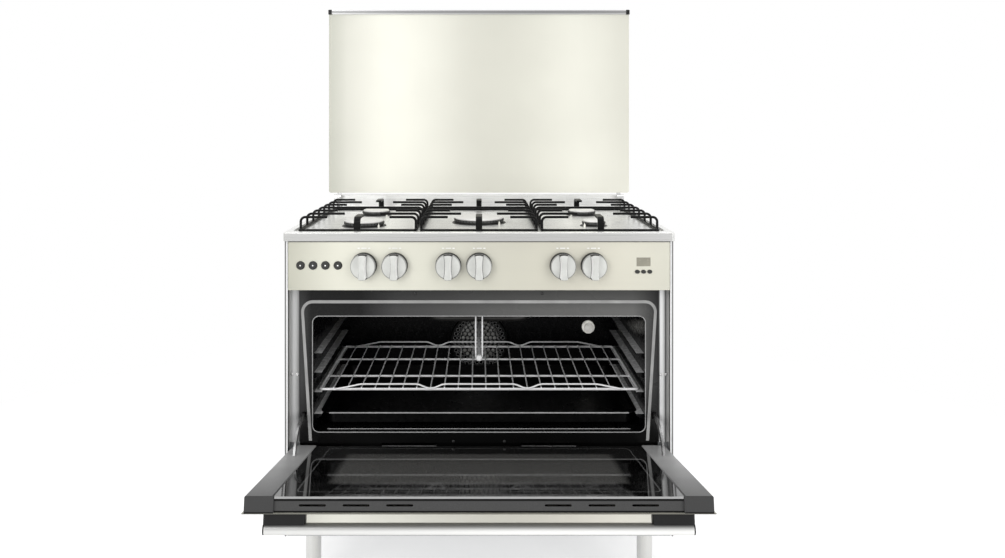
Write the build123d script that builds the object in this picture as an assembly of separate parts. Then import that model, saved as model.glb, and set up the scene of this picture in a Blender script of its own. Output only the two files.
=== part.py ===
from build123d import *
import math
import os

# A free-standing gas cooker, 900 mm wide: five burners under three pan supports and a lid that stands
# up behind them, a gas oven with a drop-down door, a fan and a rotisserie, and a storage drawer below.
# Millimetres, +Z up, the front towards -Y. Depths are counted back from the control panel's face, and
# save() then shifts every piece so that the origin is on the floor under the middle of the cooker as it
# stands with its oven door open.

# Overall
WIDTH = 900.0
HOB_Z = 850.0
HOB_DEPTH = 600.0
LEG_HEIGHT = 150.0
SHEET = 1.2
RUN = 0.3  # clearance between pieces that move past each other
FIT = 0.05  # radial clearance of a shaft in its bore

# Cabinet
SIDE_INSET = 3.0
FRONT_FLANGE = 6.5
REAR_FLANGE = 15.0
FRONT_GAP = 1.5  # beside the control panel, the oven door and the drawer
BACK_INSET = 16.0
VENT_SLOT = (70.0, 5.0)
VENT_PITCH = 16.0
VENT_ROWS = 8
LEG_RADIUS = 18.0
FOOT_RADIUS = 26.0
FOOT_HEIGHT = 14.0
FOOT_EDGE = 2.0
LEG_INSET = 55.0

# Worktop
HOB_OVERHANG = 8.0
HOB_LIP = 20.0
HOB_EDGE = 2.8
HOB_CORNER = 7.0
WELL_DEPTH = 5.0
WELL_MARGIN = 16.0
WELL_FRONT = 12.0
WELL_BACK_INSET = 78.0
WELL_CORNER = 25.0
FLUE_RISE = 34.0
FLUE_DEPTH = 30.0
FLUE_INSET = 5.0
FLUE_MARGIN = 14.0
FLUE_CORNER = 6.0
FLUE_SLOT = (60.0, 6.0)
FLUE_PITCH = 75.0
FLUE_COUNT = 9

# Burners: outer radius of each flame ring, and where the burners stand
RAPID_RADIUS = 50.0
MEDIUM_RADIUS = 38.0
SMALL_RADIUS = 29.0
WOK_RADIUS = 64.0
FRONT_BURNER_Y = 152.0
REAR_BURNER_INSET = 210.0
WOK_Y = 216.0
CUP_DEPTH = 26.0
CUP_TAPER = 14.0  # narrower at its foot
CUP_FLANGE = 5.0
CUP_RIM = 1.5
RING_HEIGHT = 9.0
PORT_WIDTH = 2.4
PORT_DEPTH = 5.0
PORT_PITCH = 9.0
CAP_HEIGHT = 6.0
CAP_INSET = 3.0
CAP_BULGE = 1.0
CAP_BULGE_RISE = 2.0
CAP_SHOULDER = 4.0
CAP_SHOULDER_RISE = 4.2
CAP_CROWN_RISE = 5.4
ELECTRODE_RADIUS = 2.5
ELECTRODE_TIP = 0.8
ELECTRODE_TURN = 45.0  # degrees, towards the front and the cooker's middle

# Pan supports
SUPPORT_HOOP = 7.0
SUPPORT_ROD = 6.0
SUPPORT_GAP = 6.0
SUPPORT_SIDE_GAP = 8.0  # from the well's edges
SUPPORT_FRONT_GAP = 21.0
SUPPORT_BACK_GAP = 17.0
SUPPORT_TOP = 31.0  # above the worktop
SUPPORT_BARS = 7
SUPPORT_BAR_INSET = 19.0
SUPPORT_BEND = 11.0
SHORT_FINGER_STOP = 74.0  # from the middle of a support to a finger's tip
LONG_FINGER_STOP = 44.0
MIDDLE_FINGER = 62.0
MIDDLE_FINGER_WIDTH = 15.0
MIDDLE_FINGER_SHEET = 5.0

# Lid
LID_INSET = 44.0  # from the worktop's back edge
LID_FOLD = 6.0  # depth of the folded edges
LID_PIVOT_INSET = 48.0
LID_PIVOT_RISE = 30.0
LID_FOOT = 12.0  # from the hinge line up to the lid's lower edge
LID_OVERHANG = 8.0  # past the worktop's front edge, lid shut
LID_CORNER = 6.0
TRIM_HEIGHT = 13.0
TRIM_WALL = 3.0
TRIM_ROUND = 1.0
TRIM_CAP = 9.0
TRIM_LAP = 0.5
TRIM_END = 1.5
KNUCKLE_RADIUS = 7.0
LID_PIN_RADIUS = 3.0
LID_POST_INSET = 26.0
LID_POST_WIDTH = 9.0
LID_ARM_WIDTH = 11.0
LID_ARM_HEIGHT = 40.0
LID_ARM_SHEET = 3.0

# Control panel
PANEL_DROP = 3.0  # below the worktop's lip
PANEL_HEIGHT = 110.5
PANEL_RETURN = 25.0
PANEL_LUG = 40.0
CONTROL_DROP = 53.5  # from the panel's top edge to the knobs
KNOB_LEFT_INSET = 210.0  # from the panel's end to the middle of a pair
KNOB_MIDDLE_X = -35.0
KNOB_RIGHT_INSET = 211.0
KNOB_PITCH = 71.0
KNOB_RADIUS = 30.0
KNOB_SKIRT = 19.0
KNOB_EDGE = 3.0
KNOB_DRAFT = 0.8
KNOB_GRIP_DEPTH = 15.0
KNOB_GRIP_WIDTH = 19.0
KNOB_WAIST = 2.5
KNOB_GRIP_INSET = 1.0
KNOB_GRIP_TAPER = 3.0  # degrees
KNOB_GRIP_ROUND = 1.5
KNOB_STANDOFF = 2.0
SPINDLE_RADIUS = 4.0
SPINDLE_END = 64.0
SPINDLE_HOLE = 6.0
BUTTON_INSET = 71.5
BUTTON_PITCH = 28.7
BUTTON_COUNT = 4
BUTTON_RADIUS = 9.7
BUTTON_PROUD = 3.5
BUTTON_EDGE = 1.5
BUTTON_BODY = 6.0
STEM_RADIUS = 3.0
STEM_END = 26.0
BANK_MARGIN = 6.0
BANK_POCKET = 12.0
BANK_DEPTH = 40.0
TIMER_INSET = 60.5
DISPLAY_SIZE = (32.0, 20.0)
DISPLAY_RISE = 8.0  # above the knobs' line
TIMER_BUTTON = (11.0, 8.5)
TIMER_BUTTON_PITCH = 14.2
TIMER_BUTTON_DROP = 14.5
TIMER_PROUD = 2.2
TIMER_STEM_RADIUS = 2.0
TIMER_MARGIN = 6.0
TIMER_POCKET = 9.0
TIMER_DEPTH = 30.0

# Gas taps and pipes
PIPE_Y = 86.0
PIPE_RADIUS = 8.0
PIPE_BEND = 28.0
PIPE_INSET = 40.8
INLET_RADIUS = 10.45
TAP_WIDTH = 24.0
TAP_HEIGHT = 30.0
TAP_FRONT = 46.0
TAP_EDGE = 3.0
FEED_RADIUS = 4.0
FEED_BEND = 10.0
FEED_RISE = 19.0
FEED_Y = 64.0

# Oven front and cavity
FRAME_Y = 40.0
FRAME_SHEET = 1.5
FRAME_BOTTOM = 310.0
FRAME_SLOT = (132.0, 4.5)
FRAME_SLOT_X = 164.0
FRAME_SLOT_RISE = 34.0
COLUMN_WIDTH = 25.0
COLUMN_CREST = 1.8
COLUMN_DEPTH = 10.0
MOUTH_MARGIN = 29.3  # frame beside the mouth
MOUTH_SILL = 64.0  # frame below it
MOUTH_HEIGHT = 273.0
MOUTH_CORNER = 16.0
CAVITY_DEPTH = 420.0
CAVITY_SUMP = 38.0  # below the mouth, for the burner
LEDGE_WIDTH = 18.0
LEDGE_EDGE = 4.0
LEDGE_HEIGHT = 14.0
LEDGE_INSET = 18.0
UPPER_LEDGE_RISES = (134.0, 180.0)
FLOOR_SLOT = (70.0, 7.0)
FLOOR_SLOTS = 4
FLOOR_SLOT_INSET = 61.5
FLOOR_EDGE = 16.0
GASKET_HEAD = 34.0  # above the mouth
GASKET_SIDE_GAP = 4.8  # from the frame's edge, at the top
GASKET_SILL = 19.0  # below the mouth
GASKET_FOOT_GAP = 4.5  # from the mouth's edge, at the bottom
GASKET_WIDTH = 7.0
GASKET_PROUD = 2.0
GASKET_CORNER = 24.0

# Inside the oven
RACK_SIDE_GAP = 8.0
RACK_BACK_GAP = 12.5  # from the fan's cover
RACK_Y = 68.0
RACK_RISE = 91.0  # above the mouth's lower edge
RACK_ROD = 6.0
RACK_CORNER = 9.0
RACK_CROSS_PLACES = (100.0, 239.0)  # from the rack's front
RACK_CROSS_ROD = 5.0
RACK_WIRE = 3.0
RACK_WIRE_SINK = 1.0
RACK_WIRES = 22
RACK_GUARD = 4.0
GUARD_RISE = 13.0
GUARD_OUT = 3.0  # in front of the hoop, clear of the wires' ends
GUARD_WAVES = 3
GUARD_DIP = 30.0
GUARD_LEAD = 66.0  # its slope at each end
GUARD_BEND = 35.0
GUARD_MARGIN = 34.0
TRAY_SIDE_GAP = 12.5
TRAY_BACK_GAP = 2.5
TRAY_Y = 66.0
TRAY_RISE = 36.0
TRAY_DROP = 27.0
TRAY_RIM = 10.0
TRAY_LEDGE_GAP = 3.0
TRAY_CORNER = 22.0
TRAY_BOWL_CORNER = 26.0
FAN_RISE = 100.0
FAN_COVER_RADIUS = 84.0
FAN_COVER_DEPTH = 21.0
FAN_COVER_EDGE = 4.0
FAN_HOLE = 4.6
FAN_HOLE_SIDES = 6  # also the holes in the innermost ring
FAN_HOLE_RINGS = 7
FAN_HOLE_PITCH = 11.6
FAN_RADIUS = 56.0
FAN_HUB_RADIUS = 12.0
FAN_BLADES = 9
FAN_BLADE_PLACE = 40.0  # from the shaft to a blade's middle
FAN_BLADE_LENGTH = 28.0
FAN_BLADE_TURN = 25.0  # degrees
FAN_BLADE_DEPTH = 11.0
FAN_SHAFT_RADIUS = 4.0
FAN_MOTOR_RADIUS = 30.0
FAN_MOTOR_DEPTH = 46.0
FAN_MOTOR_FLANGE = 39.0
MOTOR_EDGE = 6.0
SPIT_RISE = 166.0
SPIT_RADIUS = 4.0
SPIT_TIP = 7.0
SPIT_TIP_EDGE = 2.4
SPIT_TIP_LENGTH = 9.8
SPIT_NECK = 14.0
SPIT_FRONT = 64.0
SPIT_DRIVE_RADIUS = 3.0
SPIT_DRIVE = 20.0
SPIT_MOTOR = 52.0
SPIT_MOTOR_DEPTH = 36.0
SPIT_MOTOR_DROP = 13.0  # below the spit
HANGER_Y = 84.0
HANGER_WIRE = 4.0
HANGER_SPREAD = 8.0
LAMP_INSET = 76.5
LAMP_RISE = 139.0
LAMP_RADIUS = 18.0
LAMP_DEPTH = 20.0
LAMP_RING = 7.0
LAMP_GLASS_RADIUS = 14.0
LAMP_GLASS_ROUND = 6.0
OVEN_BURNER_RADIUS = 11.0
OVEN_BURNER_LIFT = 16.0
OVEN_BURNER_HALF = 170.0
GRILL_RADIUS = 9.0
GRILL_DROP = 22.0
GRILL_HALF = 125.0
OVEN_BURNER_FRONT = 115.0
OVEN_BURNER_BEND = 45.0

# Oven door, in its closed place
DOOR_DROP = 3.5  # below the control panel
DOOR_SILL = 14.0  # above the frame's lower edge
DOOR_THICKNESS = 32.0
DOOR_CLEAR = 2.5  # from the frame to the door's inner face
DOOR_SKIN = 1.5
DOOR_OPEN = 80.5  # degrees from closed, where the hinges stop
DOOR_PIVOT_RISE = 8.0
DOOR_PIN_RADIUS = 3.5
DOOR_PIN_REACH = 14.0
RAIL_OVERHANG = 4.5  # skin past the side rails
RAIL_WIDTH = 54.0
RAIL_WALL = 2.0
RAIL_ROUND = 3.0
RAIL_FOOT = 22.0
CROSS_RAIL = 22.0
TOP_RAIL_RECESS = 5.0
DOOR_SLOT = (50.0, 4.0)
DOOR_SLOT_FIRST = 147.0
DOOR_SLOT_PITCH = 81.0
DOOR_SLOTS = 3  # each side of the middle
GLASS = 4.0
GLASS_CORNER = 2.0
WINDOW_SIDE = 159.0  # from the door's side edge
WINDOW_HEIGHT = 205.0
WINDOW_CORNER = 18.0
WINDOW_OVERLAP = 18.0
ARM_RADIUS = 84.0
ARM_BAND = 12.0
ARM_SHEET = 5.0
ARM_INSET = 9.8  # from the frame's edge
ARM_TAIL = 8.0  # degrees below the hinge line, door closed
ARM_SLOT_CLEAR = 2.0
HINGE_EAR = 5.0
HINGE_EAR_GAP = 1.5
HINGE_EAR_RADIUS = 8.0
HINGE_CASE_DEPTH = 22.0
HINGE_CASE_HEIGHT = 41.0
HANDLE_DROP = 28.0  # from the door's top edge to the handle
HANDLE_INSET = 38.0  # from the door's side edge
HANDLE_DEPTH = 20.0
HANDLE_HEIGHT = 20.0
HANDLE_ROUND = 8.0
HANDLE_REACH = 24.0
BRACKET_WIDTH = 79.0
BRACKET_END = 2.5
BRACKET_ROUND = 5.0

# Drawer
DRAWER_LIFT = 5.0  # above the base
DRAWER_HEAD = 3.0  # below the frame
DRAWER_FOLD = 18.0
DRAWER_GAP = 12.0  # beside the box, for the runners
DRAWER_DEPTH = 520.0
DRAWER_HEIGHT = 120.0
RUNNER_LIFT = 27.0
RUNNER_SHELF = 24.0
RUNNER_HEIGHT = 40.0
RUNNER_FRONT = 30.0

# Places worked out from those sizes
HOB_FRONT = -HOB_OVERHANG
HOB_BACK = HOB_FRONT + HOB_DEPTH
HALF = WIDTH / 2
BODY_HALF = HALF - SIDE_INSET
BODY_INNER = BODY_HALF - SHEET
BODY_BACK = HOB_BACK - BACK_INSET
UNDER_HOB = HOB_Z - SHEET
FRONT_HALF = BODY_HALF - FRONT_FLANGE - FRONT_GAP
WELL_HALF = HALF - WELL_MARGIN
WELL_BACK = HOB_BACK - WELL_BACK_INSET
FLUE_BACK = HOB_BACK - FLUE_INSET
FLUE_FRONT = FLUE_BACK - FLUE_DEPTH
REAR_BURNER_Y = HOB_BACK - REAR_BURNER_INSET
LID_Y = HOB_BACK - LID_INSET
LID_PIVOT_Y = HOB_BACK - LID_PIVOT_INSET
SUPPORT_WIDTH = (2 * (WELL_HALF - SUPPORT_SIDE_GAP) - 2 * SUPPORT_GAP) / 3
SUPPORT_PITCH = SUPPORT_WIDTH + SUPPORT_GAP
SUPPORT_FRONT = WELL_FRONT + SUPPORT_FRONT_GAP
SUPPORT_BACK = WELL_BACK - SUPPORT_BACK_GAP
WELL_Z = HOB_Z - WELL_DEPTH
PANEL_TOP = HOB_Z - HOB_LIP - PANEL_DROP
PANEL_BOTTOM = PANEL_TOP - PANEL_HEIGHT
CONTROL_Z = PANEL_TOP - CONTROL_DROP
DISPLAY_Z = CONTROL_Z + DISPLAY_RISE
TIMER_BUTTON_Z = CONTROL_Z - TIMER_BUTTON_DROP
KNOB_PAIRS = (KNOB_LEFT_INSET - FRONT_HALF, KNOB_MIDDLE_X, FRONT_HALF - KNOB_RIGHT_INSET)
KNOB_X = [pair + side * KNOB_PITCH / 2 for pair in KNOB_PAIRS for side in (-1, 1)]
FEED_X = KNOB_X[:3] + KNOB_X[4:]  # the fourth knob is the oven's
BUTTON_MIDDLE_X = BUTTON_INSET - FRONT_HALF
TIMER_X = FRONT_HALF - TIMER_INSET
PIPE_SIDE_X = BODY_INNER - PIPE_INSET
LID_POST_X = HALF - LID_POST_INSET
BUTTON_X = [BUTTON_MIDDLE_X + (i - (BUTTON_COUNT - 1) / 2) * BUTTON_PITCH for i in range(BUTTON_COUNT)]
TIMER_BUTTON_X = [TIMER_X + step * TIMER_BUTTON_PITCH for step in (-1, 0, 1)]
BURNERS = [
    (-SUPPORT_PITCH, FRONT_BURNER_Y, RAPID_RADIUS),
    (-SUPPORT_PITCH, REAR_BURNER_Y, MEDIUM_RADIUS),
    (0.0, WOK_Y, WOK_RADIUS),
    (SUPPORT_PITCH, REAR_BURNER_Y, MEDIUM_RADIUS),
    (SUPPORT_PITCH, FRONT_BURNER_Y, SMALL_RADIUS),
]
FRAME_BACK = FRAME_Y + FRAME_SHEET
FRAME_HALF = BODY_INNER - COLUMN_WIDTH
FRAME_TOP = PANEL_BOTTOM - FRONT_GAP
MOUTH_HALF = FRAME_HALF - MOUTH_MARGIN
MOUTH_BOTTOM = FRAME_BOTTOM + MOUTH_SILL
MOUTH_TOP = MOUTH_BOTTOM + MOUTH_HEIGHT
CAVITY_BACK = FRAME_BACK + CAVITY_DEPTH
WALL_BACK = CAVITY_BACK + SHEET
CAVITY_FLOOR = MOUTH_BOTTOM - CAVITY_SUMP
OVEN_BURNER_Z = CAVITY_FLOOR + OVEN_BURNER_LIFT
GASKET_TOP = MOUTH_TOP + GASKET_HEAD
GASKET_BOTTOM = MOUTH_BOTTOM - GASKET_SILL
GASKET_TOP_HALF = FRAME_HALF - GASKET_SIDE_GAP
GASKET_BOTTOM_HALF = MOUTH_HALF + GASKET_FOOT_GAP
COVER_FACE = CAVITY_BACK - FAN_COVER_DEPTH
RACK_BACK = COVER_FACE - RACK_BACK_GAP
TRAY_BACK = COVER_FACE - TRAY_BACK_GAP
RACK_Z = MOUTH_BOTTOM + RACK_RISE
TRAY_Z = MOUTH_BOTTOM + TRAY_RISE
FAN_Z = MOUTH_BOTTOM + FAN_RISE
SPIT_Z = MOUTH_BOTTOM + SPIT_RISE
LAMP_X = MOUTH_HALF - LAMP_INSET
LAMP_Z = MOUTH_BOTTOM + LAMP_RISE
UPPER_LEDGES = [MOUTH_BOTTOM + rise for rise in UPPER_LEDGE_RISES]
RACK_LEDGE = RACK_Z - RACK_ROD / 2 - RUN
TRAY_LEDGE = TRAY_Z
FLOOR_LEDGE = MOUTH_BOTTOM - SHEET
DOOR_BOTTOM = FRAME_BOTTOM + DOOR_SILL
DOOR_TOP = PANEL_BOTTOM - DOOR_DROP
DOOR_INNER = FRAME_Y - DOOR_CLEAR
WINDOW_HALF = FRONT_HALF - WINDOW_SIDE
DOOR_OUTER = DOOR_INNER - DOOR_THICKNESS
DOOR_PIVOT_Y = DOOR_INNER - DOOR_THICKNESS / 2
DOOR_PIVOT_Z = DOOR_BOTTOM + DOOR_PIVOT_RISE
RAIL_OUTER = FRONT_HALF - RAIL_OVERHANG
RAIL_INNER = RAIL_OUTER - RAIL_WIDTH
HINGE_TOP = FRAME_BOTTOM + HINGE_CASE_HEIGHT
HANDLE_Z = DOOR_TOP - HANDLE_DROP
HANDLE_HALF = FRONT_HALF - HANDLE_INSET
ARM_X = FRAME_HALF - ARM_INSET
LID_PIVOT_Z = HOB_Z + LID_PIVOT_RISE
LID_BOTTOM = LID_PIVOT_Z + LID_FOOT
LID_TOP = LID_BOTTOM + LID_PIVOT_Y - HOB_FRONT + LID_OVERHANG - LID_FOOT
DRAWER_HALF = BODY_INNER - DRAWER_GAP
DRAWER_FRONT_BOTTOM = LEG_HEIGHT + DRAWER_LIFT
DRAWER_FRONT_TOP = FRAME_BOTTOM - DRAWER_HEAD
RUNNER_Z = LEG_HEIGHT + RUNNER_LIFT

# The open door reaches furthest forward, at its outer top edge, and the worktop furthest back.
REACH = math.radians(DOOR_OPEN)
OPEN_FRONT = (
    DOOR_PIVOT_Y
    - DOOR_THICKNESS / 2 * math.cos(REACH)
    - (DOOR_TOP - DOOR_PIVOT_Z) * math.sin(REACH)
)
MIDDLE_Y = (OPEN_FRONT + HOB_BACK) / 2


def block(x, y, z):
    """A box between two values along each axis."""
    spans = (x, y, z)
    middle = [(low + high) / 2 for low, high in spans]
    return Pos(*middle) * Box(*[high - low for low, high in spans])


def bar_x(x, y, z, radius):
    return Pos((x[0] + x[1]) / 2, y, z) * Rot(0, 90, 0) * Cylinder(radius, x[1] - x[0])


def bar_y(x, y, z, radius):
    return Pos(x, (y[0] + y[1]) / 2, z) * Rot(90, 0, 0) * Cylinder(radius, y[1] - y[0])


def bar_z(x, y, z, radius):
    return Pos(x, y, (z[0] + z[1]) / 2) * Cylinder(radius, z[1] - z[0])


def slab(x, y, z, corner):
    """A plate facing front, with rounded corners."""
    middle = ((x[0] + x[1]) / 2, y[1], (z[0] + z[1]) / 2)
    facing = Plane(middle, x_dir=(1, 0, 0), z_dir=(0, -1, 0))
    return extrude(facing * RectangleRounded(x[1] - x[0], z[1] - z[0], corner), y[1] - y[0])


def sheet_slab(x, y, z, corner):
    """A flat plate lying level, with rounded corners."""
    middle = ((x[0] + x[1]) / 2, (y[0] + y[1]) / 2, z[0])
    return extrude(Pos(*middle) * RectangleRounded(x[1] - x[0], y[1] - y[0], corner), z[1] - z[0])


def turned(profile):
    """A solid turned about Z from (radius, height) points."""
    outline = Polyline(*[(radius, 0, height) for radius, height in profile], close=True)
    return revolve(make_face(outline), Axis.Z)


def turned_y(x, z, profile):
    """A solid turned about a front-to-back axis from (radius, depth) points."""
    return Pos(x, 0, z) * Rot(-90, 0, 0) * turned(profile)


def rod(points, radius, bend):
    """A round rod along straight runs joined by bends."""
    path = FilletPolyline(*points, radius=bend) if len(points) > 2 else Line(*points)
    return sweep(Plane(path @ 0, z_dir=path % 0) * Circle(radius), path=path)


def strip(points, bend):
    """A flat bent finger that stands in the middle of a pan support's end."""
    path = FilletPolyline(*points, radius=bend)
    section = Rectangle(MIDDLE_FINGER_WIDTH, MIDDLE_FINGER_SHEET)
    return sweep(Plane(path @ 0, x_dir=(1, 0, 0), z_dir=path % 0) * section, path=path)


def hoop(x, y, z, radius, corner):
    """A closed rod in a level rectangle."""
    points = [(x[0], y[0], z), (x[1], y[0], z), (x[1], y[1], z), (x[0], y[1], z)]
    path = FilletPolyline(*points, radius=corner, close=True)
    return sweep(Plane(path @ 0, z_dir=path % 0) * Circle(radius), path=path)


def both_sides(piece):
    return [piece, mirror(piece, Plane.YZ)]


def save(name, *pieces):
    solids = [solid.moved(Location((0, -MIDDLE_Y, 0))) for piece in pieces for solid in piece.solids()]
    export_step(solids[0] if len(solids) == 1 else Compound(solids), f"parts/{name}.step")


def side_panel():
    outer = block((BODY_HALF - REAR_FLANGE, BODY_HALF), (0, BODY_BACK), (LEG_HEIGHT, UNDER_HOB))
    hollow = block((BODY_HALF - REAR_FLANGE, BODY_INNER), (SHEET, BODY_BACK - SHEET), (LEG_HEIGHT, UNDER_HOB))
    front = block((BODY_HALF - REAR_FLANGE, BODY_HALF - FRONT_FLANGE), (0, SHEET), (LEG_HEIGHT, UNDER_HOB))
    return outer - hollow - front


def rear_panel():
    panel = block((-BODY_INNER, BODY_INNER), (BODY_BACK, BODY_BACK + SHEET), (LEG_HEIGHT, UNDER_HOB))
    length, height = VENT_SLOT
    for row in range(VENT_ROWS):
        z = MOUTH_TOP - row * VENT_PITCH
        for side in (-1, 1):
            x = side * HALF / 2
            span = (x - length / 2, x + length / 2)
            panel -= slab(span, (BODY_BACK, BODY_BACK + SHEET), (z, z + height), height / 2 - FIT)
    return panel - bar_y(PIPE_SIDE_X, (BODY_BACK, BODY_BACK + SHEET), CONTROL_Z, PIPE_RADIUS + RUN)


def base_pan():
    reach = (SHEET + FRONT_GAP, BODY_BACK - SHEET)
    rise = DRAWER_FRONT_BOTTOM - LEG_HEIGHT - SHEET
    tray = block((-BODY_INNER, BODY_INNER), reach, (LEG_HEIGHT, LEG_HEIGHT + SHEET + rise))
    inside = block(
        (-BODY_INNER + SHEET, BODY_INNER - SHEET),
        (reach[0] + SHEET, reach[1] - SHEET),
        (LEG_HEIGHT + SHEET, LEG_HEIGHT + SHEET + rise),
    )
    return tray - inside


def leg(x, y):
    taper = FOOT_RADIUS - LEG_RADIUS
    profile = [
        (0, 0),
        (FOOT_RADIUS - FOOT_EDGE, 0),
        (FOOT_RADIUS, FOOT_EDGE),
        (FOOT_RADIUS, FOOT_HEIGHT),
        (LEG_RADIUS, FOOT_HEIGHT + taper),
        (LEG_RADIUS, LEG_HEIGHT),
        (0, LEG_HEIGHT),
    ]
    return Pos(x, y, 0) * turned(profile)


def legs():
    x = BODY_HALF - LEG_INSET
    return [leg(side * x, y) for side in (-1, 1) for y in (LEG_INSET, BODY_BACK - LEG_INSET)]


def worktop():
    outer = sheet_slab((-HALF, HALF), (HOB_FRONT, HOB_BACK), (HOB_Z - HOB_LIP, HOB_Z), HOB_CORNER)
    outer = fillet(outer.faces().sort_by(Axis.Z)[-1].edges(), HOB_EDGE)
    inner = sheet_slab(
        (-HALF + SHEET, HALF - SHEET),
        (HOB_FRONT + SHEET, HOB_BACK - SHEET),
        (HOB_Z - HOB_LIP, UNDER_HOB),
        HOB_CORNER - SHEET,
    )
    inner = fillet(inner.faces().sort_by(Axis.Z)[-1].edges(), HOB_EDGE - SHEET)
    well = sheet_slab((-WELL_HALF, WELL_HALF), (WELL_FRONT, WELL_BACK), (WELL_Z, HOB_Z), WELL_CORNER)
    basin = sheet_slab(
        (-WELL_HALF - SHEET, WELL_HALF + SHEET),
        (WELL_FRONT - SHEET, WELL_BACK + SHEET),
        (WELL_Z - SHEET, UNDER_HOB),
        WELL_CORNER + SHEET,
    )
    top = outer - inner + basin - well
    for x, y, radius in BURNERS:
        top -= bar_z(x, y, (WELL_Z - SHEET, WELL_Z), radius)
    return flue(top)


def flue(top):
    """Raises the hollow flue, with its slots, along the back of the worktop."""
    half = HALF - FLUE_MARGIN
    crest = HOB_Z + FLUE_RISE
    top += sheet_slab((-half, half), (FLUE_FRONT, FLUE_BACK), (UNDER_HOB, crest), FLUE_CORNER)
    top -= sheet_slab(
        (-half + SHEET, half - SHEET),
        (FLUE_FRONT + SHEET, FLUE_BACK - SHEET),
        (UNDER_HOB, crest - SHEET),
        FLUE_CORNER - SHEET,
    )
    length, breadth = FLUE_SLOT
    middle = (FLUE_FRONT + FLUE_BACK) / 2
    for i in range(FLUE_COUNT):
        x = (i - (FLUE_COUNT - 1) / 2) * FLUE_PITCH
        top -= sheet_slab(
            (x - length / 2, x + length / 2),
            (middle - breadth / 2, middle + breadth / 2),
            (crest - SHEET, crest),
            breadth / 2 - FIT,
        )
    return top


def burner_cup(x, y, radius):
    top = WELL_Z + CUP_RIM
    profile = [
        (0, WELL_Z - CUP_DEPTH),
        (radius - CUP_TAPER, WELL_Z - CUP_DEPTH),
        (radius - RUN, WELL_Z - CUP_DEPTH / 2),
        (radius - RUN, WELL_Z),
        (radius + CUP_FLANGE, WELL_Z),
        (radius + CUP_FLANGE - CUP_RIM, top),
        (0, top),
    ]
    return Pos(x, y, 0) * turned(profile)


def burner_ring(x, y, radius):
    """A flame spreader with a row of ports cut down from its upper edge."""
    low = WELL_Z + CUP_RIM
    high = low + RING_HEIGHT
    profile = [
        (0, low),
        (radius - CAP_INSET, low),
        (radius, low + RING_HEIGHT / 2),
        (radius, high),
        (0, high),
    ]
    ring = turned(profile)
    count = round(2 * math.pi * radius / PORT_PITCH)
    port = Box(2 * CAP_INSET, PORT_WIDTH, PORT_DEPTH, align=(Align.CENTER, Align.CENTER, Align.MAX))
    ports = [Pos(0, 0, high) * place * port for place in PolarLocations(radius, count)]
    return Pos(x, y, 0) * (ring - ports)


def burner_cap(x, y, radius):
    low = WELL_Z + CUP_RIM + RING_HEIGHT
    edge = radius - CAP_INSET - RUN
    profile = [
        (0, low),
        (edge, low),
        (edge + CAP_BULGE, low + CAP_BULGE_RISE),
        (edge, low + CAP_SHOULDER_RISE),
        (edge - CAP_SHOULDER, low + CAP_CROWN_RISE),
        (edge / 2, low + CAP_HEIGHT),
        (0, low + CAP_HEIGHT),
    ]
    return Pos(x, y, 0) * turned(profile)


def electrode(x, y, radius):
    """A spark plug standing through the worktop beside its burner."""
    away = radius + CUP_FLANGE + ELECTRODE_RADIUS + RUN
    turn = math.radians(180 + ELECTRODE_TURN if x > 0 else -ELECTRODE_TURN)
    profile = [
        (0, WELL_Z),
        (ELECTRODE_RADIUS, WELL_Z),
        (ELECTRODE_RADIUS, WELL_Z + CUP_RIM + RING_HEIGHT - PORT_DEPTH),
        (ELECTRODE_TIP, WELL_Z + CUP_RIM + RING_HEIGHT - PORT_DEPTH / 2),
        (ELECTRODE_TIP, WELL_Z + CUP_RIM + RING_HEIGHT),
        (0, WELL_Z + CUP_RIM + RING_HEIGHT),
    ]
    return Pos(x + away * math.cos(turn), y + away * math.sin(turn), 0) * turned(profile)


def pan_support(x):
    """A hoop of rod on the worktop, with a bar bridging it and bent fingers pointing in over the burners."""
    radius = SUPPORT_ROD / 2
    ring = SUPPORT_HOOP / 2
    half = SUPPORT_WIDTH / 2 - ring
    front = SUPPORT_FRONT + ring
    back = SUPPORT_BACK - ring
    low = WELL_Z + RUN + ring
    high = HOB_Z + SUPPORT_TOP - radius
    first = front + SUPPORT_BAR_INSET
    pitch = (back - front - 2 * SUPPORT_BAR_INSET) / (SUPPORT_BARS - 1)
    support = hoop((-half, half), (front, back), low, ring, SUPPORT_BEND)
    for i in range(SUPPORT_BARS):
        y = first + i * pitch
        if i == SUPPORT_BARS // 2:
            corners = [(-half, y, low), (-half, y, high), (half, y, high), (half, y, low)]
            support += rod(corners, radius, SUPPORT_BEND)
            continue
        stop = LONG_FINGER_STOP if i % 2 else SHORT_FINGER_STOP
        for side in (-1, 1):
            edge = side * half
            finger = [(edge, y, low), (edge, y, high), (side * stop, y, high)]
            support += rod(finger, radius, SUPPORT_BEND)
    for start, inward in ((front, 1), (back, -1)):
        tip = start + inward * MIDDLE_FINGER
        support += strip([(0, start, low), (0, start, high), (0, tip, high)], SUPPORT_BEND)
    return Pos(x, 0, 0) * support


def lid_panel():
    """A sheet folded back at its sides and head, and open along its foot for the hinge arms."""
    top = LID_TOP - TRIM_WALL
    outer = slab((-HALF, HALF), (LID_Y, LID_Y + LID_FOLD), (LID_BOTTOM, top), LID_CORNER)
    inside = slab(
        (-HALF + SHEET, HALF - SHEET),
        (LID_Y + SHEET, LID_Y + LID_FOLD),
        (LID_BOTTOM - LID_CORNER, top - SHEET),
        LID_CORNER - SHEET,
    )
    return outer - inside


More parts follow.
